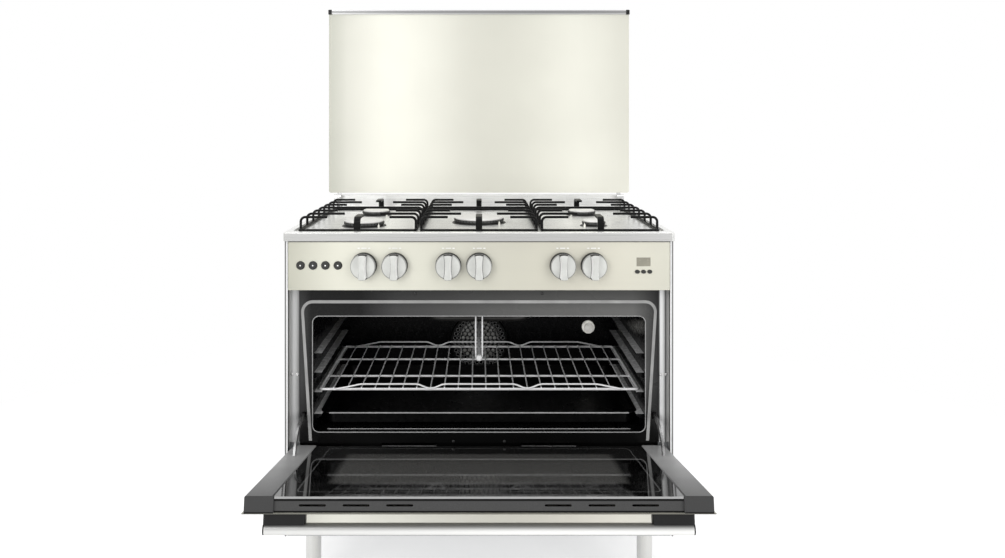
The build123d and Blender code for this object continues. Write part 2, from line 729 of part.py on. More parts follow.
def lid_channel(x, grow):
    """A length of the profile that caps the lid's upper edge."""
    wall = TRIM_WALL + grow
    foot = LID_TOP - TRIM_HEIGHT - grow
    outer = slab(x, (LID_Y - wall, LID_Y + LID_FOLD + wall), (foot, LID_TOP + grow), TRIM_ROUND)
    inner = block(x, (LID_Y, LID_Y + LID_FOLD), (foot, LID_TOP - TRIM_WALL))
    return outer - inner


def lid_trim():
    return lid_channel((-HALF + TRIM_CAP, HALF - TRIM_CAP), 0)


def lid_cap():
    return lid_channel((HALF - TRIM_CAP, HALF), TRIM_LAP) + block(
        (HALF, HALF + TRIM_END),
        (LID_Y - TRIM_WALL, LID_Y + LID_FOLD + TRIM_WALL),
        (LID_TOP - TRIM_HEIGHT, LID_TOP),
    )


def lid_post():
    """A hinge post on the worktop, with the pin that carries the lid."""
    x = (LID_POST_X, LID_POST_X + LID_POST_WIDTH)
    reach = (LID_PIVOT_Y - KNUCKLE_RADIUS, LID_PIVOT_Y + KNUCKLE_RADIUS)
    post = block(x, reach, (HOB_Z, LID_PIVOT_Z)) + bar_x(x, LID_PIVOT_Y, LID_PIVOT_Z, KNUCKLE_RADIUS)
    pin = (LID_POST_X - RUN - LID_ARM_WIDTH, LID_POST_X)
    return post + bar_x(pin, LID_PIVOT_Y, LID_PIVOT_Z, LID_PIN_RADIUS)


def lid_arm():
    """A hinge arm that turns on the post's pin and reaches up into the lid's fold to a plate on its back."""
    x = (LID_POST_X - RUN - LID_ARM_WIDTH, LID_POST_X - RUN)
    back = LID_Y + SHEET
    knuckle = bar_x(x, LID_PIVOT_Y, LID_PIVOT_Z, KNUCKLE_RADIUS)
    reach = block(x, (LID_PIVOT_Y, back + LID_ARM_SHEET), (LID_PIVOT_Z, LID_BOTTOM - RUN))
    plate = block(x, (back, back + LID_ARM_SHEET), (LID_PIVOT_Z, LID_BOTTOM + LID_ARM_HEIGHT))
    bore = bar_x(x, LID_PIVOT_Y, LID_PIVOT_Z, LID_PIN_RADIUS + FIT)
    return knuckle + reach + plate - bore


def control_panel():
    outer = block((-FRONT_HALF, FRONT_HALF), (0, PANEL_RETURN), (PANEL_BOTTOM, PANEL_TOP))
    inner = block(
        (-FRONT_HALF + SHEET, FRONT_HALF - SHEET),
        (SHEET, PANEL_RETURN),
        (PANEL_BOTTOM + SHEET, PANEL_TOP - SHEET),
    )
    panel = outer - inner
    lug = block(
        (FRONT_HALF - SHEET, BODY_INNER),
        (PANEL_RETURN - SHEET, PANEL_RETURN),
        (CONTROL_Z - PANEL_LUG / 2, CONTROL_Z + PANEL_LUG / 2),
    )
    panel += both_sides(lug)
    for x in KNOB_X:
        panel -= bar_y(x, (0, SHEET), CONTROL_Z, SPINDLE_HOLE)
    for x in BUTTON_X:
        panel -= bar_y(x, (0, SHEET), CONTROL_Z, BUTTON_RADIUS + RUN)
    for x in TIMER_BUTTON_X:
        panel -= timer_oval(x, (0, SHEET), RUN)
    width, height = DISPLAY_SIZE
    window = block(
        (TIMER_X - width / 2, TIMER_X + width / 2),
        (0, SHEET),
        (DISPLAY_Z - height / 2, DISPLAY_Z + height / 2),
    )
    return panel - window


def timer_oval(x, y, grow):
    width, height = TIMER_BUTTON
    facing = Plane((x, y[1], TIMER_BUTTON_Z), x_dir=(1, 0, 0), z_dir=(0, -1, 0))
    return extrude(facing * Ellipse(width / 2 + grow, height / 2 + grow), y[1] - y[0])


def timer_module():
    """The clock behind the panel, with its window standing through it and a socket for each button."""
    width, height = DISPLAY_SIZE
    half = TIMER_BUTTON_PITCH + TIMER_BUTTON[0] / 2 + TIMER_MARGIN
    low = TIMER_BUTTON_Z - TIMER_BUTTON[1] / 2 - TIMER_MARGIN
    high = DISPLAY_Z + height / 2 + TIMER_MARGIN
    body = block((TIMER_X - half, TIMER_X + half), (SHEET, TIMER_DEPTH), (low, high))
    window = block(
        (TIMER_X - width / 2 + RUN, TIMER_X + width / 2 - RUN),
        (0, SHEET),
        (DISPLAY_Z - height / 2 + RUN, DISPLAY_Z + height / 2 - RUN),
    )
    pocket = block(
        (TIMER_X - half + SHEET, TIMER_X + half - SHEET),
        (SHEET, TIMER_POCKET),
        (low + SHEET, TIMER_BUTTON_Z + TIMER_BUTTON[1] / 2 + FRONT_GAP),
    )
    module = body + window - pocket
    for x in TIMER_BUTTON_X:
        module -= bar_y(x, (TIMER_POCKET, TIMER_DEPTH - SHEET), TIMER_BUTTON_Z, TIMER_STEM_RADIUS + FIT)
    return module


def timer_button(x):
    cap = timer_oval(x, (-TIMER_PROUD, SHEET + FRONT_GAP), 0)
    return cap + bar_y(x, (SHEET, TIMER_DEPTH / 2 + SHEET), TIMER_BUTTON_Z, TIMER_STEM_RADIUS)


def switch_bank():
    """The switch housing behind the push buttons, with a bore for each stem."""
    reach = BUTTON_RADIUS + BANK_MARGIN
    x = (BUTTON_X[0] - reach, BUTTON_X[-1] + reach)
    z = (CONTROL_Z - reach, CONTROL_Z + reach)
    pocket = block((x[0] + SHEET, x[1] - SHEET), (SHEET, BANK_POCKET), (z[0] + SHEET, z[1] - SHEET))
    bank = block(x, (SHEET, BANK_DEPTH), z) - pocket
    for place in BUTTON_X:
        bank -= bar_y(place, (BANK_POCKET, BANK_DEPTH - SHEET), CONTROL_Z, STEM_RADIUS + FIT)
    return bank


def push_button(x):
    return turned_y(
        x,
        CONTROL_Z,
        [
            (0, -BUTTON_PROUD),
            (BUTTON_RADIUS - BUTTON_EDGE, -BUTTON_PROUD),
            (BUTTON_RADIUS, -BUTTON_PROUD + BUTTON_EDGE),
            (BUTTON_RADIUS, BUTTON_BODY),
            (STEM_RADIUS, BUTTON_BODY),
            (STEM_RADIUS, STEM_END),
            (0, STEM_END),
        ],
    )


def knob(x):
    """A round skirt with a waisted grip bar across it, pushed onto the tap's spindle."""
    back = -KNOB_STANDOFF
    front = back - KNOB_SKIRT
    skirt = turned_y(
        x,
        CONTROL_Z,
        [
            (0, front),
            (KNOB_RADIUS - KNOB_EDGE, front),
            (KNOB_RADIUS - KNOB_DRAFT, front + KNOB_EDGE),
            (KNOB_RADIUS, back),
            (0, back),
        ],
    )
    half = KNOB_GRIP_WIDTH / 2
    reach = KNOB_RADIUS - KNOB_GRIP_INSET
    tall = math.sqrt(reach**2 - half**2)
    right = ThreePointArc((half, -tall), (half - KNOB_WAIST, 0), (half, tall))
    left = ThreePointArc((-half, tall), (-half + KNOB_WAIST, 0), (-half, -tall))
    top = ThreePointArc((half, tall), (0, reach), (-half, tall))
    bottom = ThreePointArc((-half, -tall), (0, -reach), (half, -tall))
    facing = Plane((x, front + SHEET, CONTROL_Z), x_dir=(1, 0, 0), z_dir=(0, -1, 0))
    outline = make_face([right, top, left, bottom])
    grip = extrude(facing * outline, KNOB_GRIP_DEPTH + SHEET, taper=KNOB_GRIP_TAPER)
    grip = fillet(grip.faces().sort_by(Axis.Y)[0].edges(), KNOB_GRIP_ROUND)
    bore = bar_y(x, (front + SHEET, back), CONTROL_Z, SPINDLE_RADIUS)
    spindle = bar_y(x, (front + SHEET, SPINDLE_END), CONTROL_Z, SPINDLE_RADIUS)
    return [skirt + grip - bore, spindle]


def gas_pipes():
    """The manifold behind the panel with its inlet at the back, and a feed to each burner."""
    first = KNOB_X[0] - TAP_WIDTH
    route = [(first, PIPE_Y, CONTROL_Z), (PIPE_SIDE_X, PIPE_Y, CONTROL_Z), (PIPE_SIDE_X, HOB_BACK, CONTROL_Z)]
    manifold = rod(route, PIPE_RADIUS, PIPE_BEND)
    manifold += bar_y(PIPE_SIDE_X, (BODY_BACK + SHEET, HOB_BACK), CONTROL_Z, INLET_RADIUS)
    tap_top = CONTROL_Z + TAP_HEIGHT / 2
    feeds = []
    for start, (x, y, _) in zip(FEED_X, BURNERS):
        level = tap_top + FEED_RISE
        points = [
            (start, FEED_Y, tap_top),
            (start, FEED_Y, level),
            (x, y, level),
            (x, y, WELL_Z - CUP_DEPTH),
        ]
        feeds.append(rod(points, FEED_RADIUS, FEED_BEND))
    return [manifold, *feeds]


def gas_tap(x):
    """A tap saddled on the manifold, bored for its spindle."""
    wide = TAP_WIDTH / 2
    tall = TAP_HEIGHT / 2
    body = block((x - wide, x + wide), (TAP_FRONT, PIPE_Y), (CONTROL_Z - tall, CONTROL_Z + tall))
    body = fillet(body.edges().filter_by(Axis.Y), TAP_EDGE)
    pipe = bar_x((x - TAP_WIDTH, x + TAP_WIDTH), PIPE_Y, CONTROL_Z, PIPE_RADIUS)
    bore = bar_y(x, (TAP_FRONT, SPINDLE_END + FRONT_GAP), CONTROL_Z, SPINDLE_RADIUS + FIT)
    return body - pipe - bore


def front_frame():
    frame = block((-FRAME_HALF, FRAME_HALF), (FRAME_Y, FRAME_BACK), (FRAME_BOTTOM, FRAME_TOP))
    mouth = slab((-MOUTH_HALF, MOUTH_HALF), (FRAME_Y, FRAME_BACK), (MOUTH_BOTTOM, MOUTH_TOP), MOUTH_CORNER)
    frame -= mouth
    shallow = FRAME_BACK - DOOR_PIVOT_Y
    steep = FRAME_Y - DOOR_PIVOT_Y
    low = math.sqrt((ARM_RADIUS - ARM_BAND / 2) ** 2 - shallow**2) - ARM_SLOT_CLEAR
    high = math.sqrt((ARM_RADIUS + ARM_BAND / 2) ** 2 - steep**2) + ARM_SLOT_CLEAR
    reach = ARM_SHEET / 2 + ARM_SLOT_CLEAR
    for side in (-1, 1):
        middle = side * ARM_X
        frame -= block(
            (middle - reach, middle + reach), (FRAME_Y, FRAME_BACK), (DOOR_PIVOT_Z + low, DOOR_PIVOT_Z + high)
        )
        frame -= frame_slot(side * FRAME_SLOT_X)
    return frame


def frame_slot(x):
    length, height = FRAME_SLOT
    z = FRAME_BOTTOM + FRAME_SLOT_RISE
    return slab((x - length / 2, x + length / 2), (FRAME_Y, FRAME_BACK), (z, z + height), height / 2 - FIT)


def front_column():
    """A polished upright, gently round across its face."""
    edge = FRAME_Y - COLUMN_CREST + COLUMN_DEPTH / 2
    crest = FRAME_Y - COLUMN_CREST
    back = crest + COLUMN_DEPTH
    middle = FRAME_HALF + COLUMN_WIDTH / 2
    face = ThreePointArc((FRAME_HALF, edge), (middle, crest), (BODY_INNER, edge))
    rest = Polyline((BODY_INNER, edge), (BODY_INNER, back), (FRAME_HALF, back), (FRAME_HALF, edge))
    return Pos(0, 0, HINGE_TOP) * extrude(make_face([face, rest]), FRAME_TOP - HINGE_TOP)


def ledge(top):
    outer = MOUTH_HALF
    inner = MOUTH_HALF - LEDGE_WIDTH
    points = [(outer, top), (inner, top), (inner, top - LEDGE_EDGE), (outer, top - LEDGE_HEIGHT)]
    start = FRAME_BACK + LEDGE_INSET
    outline = Polyline(*[(x, start, z) for x, z in points], close=True)
    return extrude(make_face(outline), CAVITY_DEPTH - 2 * LEDGE_INSET, dir=(0, 1, 0))


def oven_cavity():
    """The enamelled oven box, open to the front, with shelf ledges pressed into its sides."""
    wall = MOUTH_HALF + SHEET
    outer = block((-wall, wall), (FRAME_BACK, WALL_BACK), (CAVITY_FLOOR - SHEET, MOUTH_TOP + SHEET))
    inner = block((-MOUTH_HALF, MOUTH_HALF), (FRAME_BACK, CAVITY_BACK), (CAVITY_FLOOR, MOUTH_TOP))
    cavity = outer - inner
    for top in (FLOOR_LEDGE, TRAY_LEDGE, RACK_LEDGE, *UPPER_LEDGES):
        cavity += both_sides(ledge(top))
    cavity -= bar_y(0, (CAVITY_BACK, WALL_BACK), FAN_Z, FAN_SHAFT_RADIUS + FRONT_GAP)
    return cavity - bar_y(0, (CAVITY_BACK, WALL_BACK), SPIT_Z, SPIT_RADIUS + FRONT_GAP)


def oven_floor():
    """The lift-out floor over the oven burner, folded down at the front."""
    reach = (FRAME_BACK + FRONT_GAP, CAVITY_BACK - FRONT_GAP)
    half = MOUTH_HALF - RUN
    floor = block((-half, half), reach, (FLOOR_LEDGE, MOUTH_BOTTOM))
    fold = block(
        (-half + LEDGE_WIDTH, half - LEDGE_WIDTH),
        (reach[0], reach[0] + SHEET),
        (FLOOR_LEDGE - FLOOR_EDGE, FLOOR_LEDGE),
    )
    floor += fold
    length, breadth = FLOOR_SLOT
    pitch = (reach[1] - reach[0]) / FLOOR_SLOTS
    for i in range(FLOOR_SLOTS):
        y = reach[0] + (i + 0.5) * pitch
        for x in (FLOOR_SLOT_INSET - MOUTH_HALF, MOUTH_HALF - FLOOR_SLOT_INSET):
            floor -= sheet_slab(
                (x - breadth / 2, x + breadth / 2),
                (y - length / 2, y + length / 2),
                (FLOOR_LEDGE, MOUTH_BOTTOM),
                breadth / 2 - FIT,
            )
    return floor


def gasket():
    """The door seal over the head and down the sides of the oven's mouth, closer together at its feet."""

    def outline(grow):
        foot = GASKET_BOTTOM_HALF + grow
        head = GASKET_TOP_HALF + grow
        top = GASKET_TOP + grow
        points = [(-foot, GASKET_BOTTOM), (foot, GASKET_BOTTOM), (head, top), (-head, top)]
        shape = make_face(Polyline(*points, close=True))
        return fillet(shape.vertices().group_by(Axis.Y)[-1], GASKET_CORNER + grow)

    facing = Plane((0, FRAME_Y, 0), x_dir=(1, 0, 0), z_dir=(0, -1, 0))
    ring = outline(GASKET_WIDTH / 2) - outline(-GASKET_WIDTH / 2)
    return extrude(facing * ring, GASKET_PROUD)


def oven_rack():
    """A wire shelf: a rod hoop with cross rods, close wires along it and a waved guard at each end."""
    radius = RACK_ROD / 2
    half = MOUTH_HALF - RACK_SIDE_GAP - radius
    front = RACK_Y + radius
    back = RACK_BACK - radius
    rack = hoop((-half, half), (front, back), RACK_Z, radius, RACK_CORNER)
    rods = []
    for place in RACK_CROSS_PLACES:
        rods.append(bar_x((-half, half), RACK_Y + place, RACK_Z, RACK_CROSS_ROD / 2))
    level = RACK_Z + radius + RACK_WIRE / 2 - RACK_WIRE_SINK
    pitch = 2 * half / (RACK_WIRES + 1)
    for i in range(RACK_WIRES):
        rods.append(bar_y(-half + (i + 1) * pitch, (front, back), level, RACK_WIRE / 2))
    for y in (front - GUARD_OUT, back + GUARD_OUT):
        rods.append(rack_guard(y, half))
    return rack + rods


def rack_guard(y, half):
    """The waved wire over one end of the rack, dipping to the rod between its arches."""
    end = half - GUARD_MARGIN
    span = 2 * end / GUARD_WAVES
    high = RACK_Z + GUARD_RISE
    points = [(-end, y, RACK_Z)]
    for wave in range(GUARD_WAVES):
        start = -end + wave * span
        finish = start + span
        rise = GUARD_DIP if wave else GUARD_LEAD
        fall = GUARD_DIP if wave < GUARD_WAVES - 1 else GUARD_LEAD
        points += [(start + rise, y, high), (finish - fall, y, high), (finish, y, RACK_Z)]
    return rod(points, RACK_GUARD / 2, GUARD_BEND)


def oven_tray():
    """A pressed baking tray with a flat rim that slides on the lowest ledges."""
    half = MOUTH_HALF - TRAY_SIDE_GAP
    y = (TRAY_Y, TRAY_BACK)
    low = TRAY_Z + RUN
    rim = sheet_slab((-half, half), y, (low, low + SHEET), TRAY_CORNER)
    body_half = MOUTH_HALF - LEDGE_WIDTH - TRAY_LEDGE_GAP
    bowl_y = (y[0] + TRAY_RIM, y[1] - TRAY_RIM)
    deep = low + SHEET - TRAY_DROP
    outer = sheet_slab((-body_half, body_half), bowl_y, (deep, low + SHEET), TRAY_BOWL_CORNER)
    inner = sheet_slab(
        (-body_half + SHEET, body_half - SHEET),
        (bowl_y[0] + SHEET, bowl_y[1] - SHEET),
        (deep + SHEET, low + SHEET),
        TRAY_BOWL_CORNER - SHEET,
    )
    return rim + outer - inner


def fan_cover():
    """A round dish on the oven's back wall, pierced in rings and by the spit."""
    profile = [
        (0, COVER_FACE),
        (FAN_COVER_RADIUS - FAN_COVER_EDGE, COVER_FACE),
        (FAN_COVER_RADIUS, COVER_FACE + FAN_COVER_EDGE),
        (FAN_COVER_RADIUS, CAVITY_BACK),
        (FAN_COVER_RADIUS - SHEET, CAVITY_BACK),
        (FAN_COVER_RADIUS - SHEET, COVER_FACE + FAN_COVER_EDGE + SHEET / 2),
        (FAN_COVER_RADIUS - FAN_COVER_EDGE - SHEET / 2, COVER_FACE + SHEET),
        (0, COVER_FACE + SHEET),
    ]
    cover = turned_y(0, FAN_Z, profile)
    facing = Plane((0, COVER_FACE + SHEET, FAN_Z), x_dir=(1, 0, 0), z_dir=(0, -1, 0))
    hole = RegularPolygon(FAN_HOLE, FAN_HOLE_SIDES)
    bore = SPIT_RADIUS + FRONT_GAP
    spit_place = Vector(0, SPIT_Z - FAN_Z, 0)
    holes = hole
    for ring in range(1, FAN_HOLE_RINGS):
        for place in PolarLocations(ring * FAN_HOLE_PITCH, FAN_HOLE_SIDES * ring):
            if (place.position - spit_place).length > FAN_HOLE + bore + SHEET:
                holes += place * hole
    cover -= bar_y(0, (COVER_FACE, COVER_FACE + SHEET), SPIT_Z, bore)
    return cover - extrude(facing * holes, SHEET)


def oven_fan():
    """A radial fan: a disc with blades round it, on the motor's shaft."""
    back = CAVITY_BACK - FRONT_GAP
    front = back - FAN_BLADE_DEPTH
    disc = bar_y(0, (back - SHEET, back), FAN_Z, FAN_RADIUS)
    hub = bar_y(0, (front, back), FAN_Z, FAN_HUB_RADIUS)
    shaft = bar_y(0, (front, WALL_BACK + FAN_MOTOR_DEPTH / 2), FAN_Z, FAN_SHAFT_RADIUS)
    blade = Rot(0, 0, FAN_BLADE_TURN) * Box(FAN_BLADE_LENGTH, SHEET, FAN_BLADE_DEPTH)
    turn = 360 / FAN_BLADES
    hub_place = Pos(0, (front + back) / 2, FAN_Z) * Rot(-90, 0, 0)
    out = Pos(FAN_BLADE_PLACE, 0, 0)
    blades = [hub_place * Rot(0, 0, i * turn) * out * blade for i in range(FAN_BLADES)]
    trim = bar_y(0, (front, back), FAN_Z, FAN_RADIUS)
    return disc + hub + shaft + [piece & trim for piece in blades]


def fan_motor():
    depth = WALL_BACK + FAN_MOTOR_DEPTH
    body = turned_y(
        0,
        FAN_Z,
        [
            (0, WALL_BACK),
            (FAN_MOTOR_FLANGE, WALL_BACK),
            (FAN_MOTOR_FLANGE, WALL_BACK + 2 * SHEET),
            (FAN_MOTOR_RADIUS, WALL_BACK + 2 * SHEET),
            (FAN_MOTOR_RADIUS, depth - MOTOR_EDGE),
            (FAN_MOTOR_RADIUS - MOTOR_EDGE, depth),
            (0, depth),
        ],
    )
    bore = (WALL_BACK, WALL_BACK + FAN_MOTOR_DEPTH / 2 + FRONT_GAP)
    return body - bar_y(0, bore, FAN_Z, FAN_SHAFT_RADIUS + FIT)


def spit_motor():
    half = SPIT_MOTOR / 2
    depth = (WALL_BACK, WALL_BACK + SPIT_MOTOR_DEPTH)
    foot = SPIT_Z - SPIT_MOTOR_DROP
    body = block((-half, half), depth, (foot, foot + SPIT_MOTOR))
    body = fillet(body.edges().filter_by(Axis.Y), MOTOR_EDGE)
    return body - bar_y(0, (WALL_BACK, WALL_BACK + SPIT_DRIVE + FRONT_GAP), SPIT_Z, SPIT_DRIVE_RADIUS + FIT)


def spit():
    profile = [
        (0, SPIT_FRONT),
        (SPIT_TIP - SPIT_TIP_EDGE, SPIT_FRONT),
        (SPIT_TIP, SPIT_FRONT + SPIT_TIP_EDGE),
        (SPIT_TIP, SPIT_FRONT + SPIT_TIP_LENGTH),
        (SPIT_RADIUS, SPIT_FRONT + SPIT_NECK),
        (SPIT_RADIUS, CAVITY_BACK),
        (SPIT_DRIVE_RADIUS, WALL_BACK),
        (SPIT_DRIVE_RADIUS, WALL_BACK + SPIT_DRIVE),
        (0, WALL_BACK + SPIT_DRIVE),
    ]
    return turned_y(0, SPIT_Z, profile)


def spit_hanger():
    """A wire stirrup from the oven's roof that holds up the spit's front end."""
    inside = HANGER_SPREAD - HANGER_WIRE / 2
    turn = SPIT_Z - SPIT_RADIUS - RUN + inside
    left = Line((-HANGER_SPREAD, HANGER_Y, MOUTH_TOP), (-HANGER_SPREAD, HANGER_Y, turn))
    loop = ThreePointArc(
        (-HANGER_SPREAD, HANGER_Y, turn), (0, HANGER_Y, turn - HANGER_SPREAD), (HANGER_SPREAD, HANGER_Y, turn)
    )
    right = Line((HANGER_SPREAD, HANGER_Y, turn), (HANGER_SPREAD, HANGER_Y, MOUTH_TOP))
    path = Wire([left, loop, right])
    return sweep(Plane(left @ 0, z_dir=left % 0) * Circle(HANGER_WIRE / 2), path=path)


def oven_lamp():
    """A round lamp glass in its screwed ring on the oven's back wall."""
    face = CAVITY_BACK - LAMP_DEPTH
    glass = bar_y(LAMP_X, (face, CAVITY_BACK), LAMP_Z, LAMP_GLASS_RADIUS)
    glass = fillet(glass.edges().group_by(Axis.Y)[0], LAMP_GLASS_ROUND)
    return glass + bar_y(LAMP_X, (CAVITY_BACK - LAMP_RING, CAVITY_BACK), LAMP_Z, LAMP_RADIUS)


def oven_burner(half, z, radius):
    """A bent tube burner, open towards the back wall that feeds it."""
    points = [
        (-half, CAVITY_BACK, z),
        (-half, OVEN_BURNER_FRONT, z),
        (half, OVEN_BURNER_FRONT, z),
        (half, CAVITY_BACK, z),
    ]
    return rod(points, radius, OVEN_BURNER_BEND)


def hinge_case():
    """A hinge box beside the oven frame, with an ear and pin for the door."""
    case = block((FRAME_HALF, BODY_INNER), (FRAME_Y, FRAME_Y + HINGE_CASE_DEPTH), (FRAME_BOTTOM, HINGE_TOP))
    ear_x = (RAIL_OUTER + HINGE_EAR_GAP, RAIL_OUTER + HINGE_EAR_GAP + HINGE_EAR)
    ear = block(
        ear_x,
        (DOOR_PIVOT_Y, FRAME_Y),
        (DOOR_PIVOT_Z - HINGE_EAR_RADIUS, DOOR_PIVOT_Z + HINGE_EAR_RADIUS),
    )
    ear += bar_x(ear_x, DOOR_PIVOT_Y, DOOR_PIVOT_Z, HINGE_EAR_RADIUS)
    pin = bar_x((RAIL_OUTER - DOOR_PIN_REACH, ear_x[0]), DOOR_PIVOT_Y, DOOR_PIVOT_Z, DOOR_PIN_RADIUS)
    return case + ear + pin


def opened(piece):
    """The door's rest place: swung down about its hinge pins."""
    axis = Axis((0, DOOR_PIVOT_Y, DOOR_PIVOT_Z), (1, 0, 0))
    return piece.rotate(axis, DOOR_OPEN)


def window_z(grow):
    middle = (DOOR_BOTTOM + DOOR_TOP - HANDLE_DROP) / 2
    half = WINDOW_HEIGHT / 2 + grow
    return (middle - half, middle + half)


def door_skin():
    y = (DOOR_OUTER, DOOR_OUTER + DOOR_SKIN)
    skin = slab((-FRONT_HALF, FRONT_HALF), y, (DOOR_BOTTOM, DOOR_TOP), DOOR_SKIN)
    return skin - slab((-WINDOW_HALF, WINDOW_HALF), y, window_z(0), WINDOW_CORNER)


def door_outer_glass():
    half = WINDOW_HALF + WINDOW_OVERLAP
    y = (DOOR_OUTER + DOOR_SKIN, DOOR_OUTER + DOOR_SKIN + GLASS)
    return slab((-half, half), y, window_z(WINDOW_OVERLAP), WINDOW_CORNER)


def door_side_rail():
    """A box rail with a closed head and a solid foot that is bored for the hinge pin."""
    y = (DOOR_OUTER + DOOR_SKIN, DOOR_INNER)
    outer = block((RAIL_INNER, RAIL_OUTER), y, (DOOR_BOTTOM, DOOR_TOP))
    outer = fillet(outer.edges().filter_by(Axis.Z).group_by(Axis.Y)[-1], RAIL_ROUND)
    hollow = block(
        (RAIL_INNER + RAIL_WALL, RAIL_OUTER - RAIL_WALL),
        (y[0] + RAIL_WALL, y[1] - RAIL_WALL),
        (DOOR_BOTTOM + RAIL_FOOT, DOOR_TOP - RAIL_WALL),
    )
    pin = (RAIL_OUTER - DOOR_PIN_REACH - RUN, RAIL_OUTER)
    return outer - hollow - bar_x(pin, DOOR_PIVOT_Y, DOOR_PIVOT_Z, DOOR_PIN_RADIUS + FIT)


def door_cross_rails():
    """Channels across the head and foot of the door, the upper one slotted to let cooling air out."""
    y = (DOOR_OUTER + DOOR_SKIN, DOOR_INNER - GLASS - FRONT_GAP)
    x = (-RAIL_INNER, RAIL_INNER)
    high = DOOR_TOP - TOP_RAIL_RECESS
    hollow_y = (y[0] + RAIL_WALL, y[1] - RAIL_WALL)
    top = block(x, y, (high - CROSS_RAIL, high))
    top -= block(x, hollow_y, (high - CROSS_RAIL, high - RAIL_WALL))
    length, breadth = DOOR_SLOT
    middle = (y[0] + y[1]) / 2
    for i in range(DOOR_SLOTS):
        for side in (-1, 1):
            place = side * (DOOR_SLOT_FIRST + i * DOOR_SLOT_PITCH)
            top -= sheet_slab(
                (place - length / 2, place + length / 2),
                (middle - breadth / 2, middle + breadth / 2),
                (high - RAIL_WALL, high),
                breadth / 2 - FIT,
            )
    foot = block(x, y, (DOOR_BOTTOM, DOOR_BOTTOM + CROSS_RAIL))
    foot -= block(x, hollow_y, (DOOR_BOTTOM + RAIL_WALL, DOOR_BOTTOM + CROSS_RAIL))
    return [top, foot]


def door_inner_glass():
    half = RAIL_INNER - RUN
    y = (DOOR_INNER - GLASS - FRONT_GAP, DOOR_INNER - FRONT_GAP)
    return slab((-half, half), y, (DOOR_BOTTOM + FRONT_GAP, DOOR_TOP - FRONT_GAP), GLASS_CORNER)


def handle_bar():
    """An oval bar along the door's head."""
    facing = Plane((-HANDLE_HALF, 0, 0), x_dir=(0, 1, 0), z_dir=(1, 0, 0))
    middle = DOOR_OUTER - HANDLE_REACH - HANDLE_DEPTH / 2
    section = Pos(middle, HANDLE_Z) * RectangleRounded(HANDLE_DEPTH, HANDLE_HEIGHT, HANDLE_ROUND)
    return extrude(facing * section, 2 * HANDLE_HALF)


def handle_bracket():
    """A moulded foot for one end of the handle, lapping the bar's end."""
    outer = HANDLE_HALF + BRACKET_END
    z = (HANDLE_Z - HANDLE_HEIGHT / 2, HANDLE_Z + HANDLE_HEIGHT / 2)
    foot = block((outer - BRACKET_WIDTH, outer), (DOOR_OUTER - HANDLE_REACH, DOOR_OUTER), z)
    foot = fillet(foot.edges().filter_by(Axis.Y), BRACKET_ROUND)
    tip = (DOOR_OUTER - HANDLE_REACH - HANDLE_DEPTH, DOOR_OUTER - HANDLE_REACH)
    facing = Plane((HANDLE_HALF, 0, 0), x_dir=(0, 1, 0), z_dir=(1, 0, 0))
    lap = Pos((tip[0] + tip[1]) / 2, HANDLE_Z) * RectangleRounded(HANDLE_DEPTH, HANDLE_HEIGHT, HANDLE_ROUND)
    lap = extrude(facing * lap, BRACKET_END)
    web = block(
        (HANDLE_HALF, outer),
        (tip[1] - HANDLE_DEPTH / 2, tip[1]),
        (z[0] + BRACKET_ROUND, z[1] - BRACKET_ROUND),
    )
    return foot + lap + web


def hinge_arm():
    """A curved stay centred on the hinge line, which runs into the oven frame as the door shuts."""
    facing = Plane(
        (ARM_X - ARM_SHEET / 2, DOOR_PIVOT_Y, DOOR_PIVOT_Z), x_dir=(0, 1, 0), z_dir=(1, 0, 0)
    )
    band = Circle(ARM_RADIUS + ARM_BAND / 2) - Circle(ARM_RADIUS - ARM_BAND / 2)
    near = DOOR_THICKNESS / 2
    far = ARM_RADIUS + ARM_BAND
    fall = math.tan(math.radians(ARM_TAIL))
    wedge = make_face(Polyline((near, far), (far, far), (far, -far * fall), (near, -near * fall), close=True))
    return extrude(facing * (band & wedge), ARM_SHEET)


def drawer_front():
    z = (DRAWER_FRONT_BOTTOM, DRAWER_FRONT_TOP)
    outer = block((-FRONT_HALF, FRONT_HALF), (0, DRAWER_FOLD), z)
    hollow = block(
        (-FRONT_HALF + SHEET, FRONT_HALF - SHEET), (SHEET, DRAWER_FOLD), (z[0] + SHEET, z[1] - SHEET)
    )
    return outer - hollow


def drawer_box():
    """An open pan that slides on the runners, fixed behind the drawer front."""
    y = (SHEET, SHEET + DRAWER_DEPTH)
    z = (RUNNER_Z + SHEET + RUN, RUNNER_Z + SHEET + RUN + DRAWER_HEIGHT)
    outer = block((-DRAWER_HALF, DRAWER_HALF), y, z)
    hollow = block(
        (-DRAWER_HALF + SHEET, DRAWER_HALF - SHEET), (y[0] + SHEET, y[1] - SHEET), (z[0] + SHEET, z[1])
    )
    return outer - hollow


def drawer_runner():
    x = (BODY_INNER - RUNNER_SHELF, BODY_INNER)
    y = (RUNNER_FRONT, BODY_BACK - SHEET - FRONT_GAP)
    rail = block(x, y, (RUNNER_Z, RUNNER_Z + RUNNER_HEIGHT))
    return rail - block((x[0], x[1] - SHEET), y, (RUNNER_Z + SHEET, RUNNER_Z + RUNNER_HEIGHT))


def save_cabinet():
    save("side_panels", *both_sides(side_panel()))
    save("rear_panel", rear_panel())
    save("base_pan", base_pan())
    save("legs", *legs())
    save("front_frame", front_frame())
    save("front_columns", *both_sides(front_column()))
    save("door_hinge_cases", *both_sides(hinge_case()))
    save("drawer_runners", *both_sides(drawer_runner()))


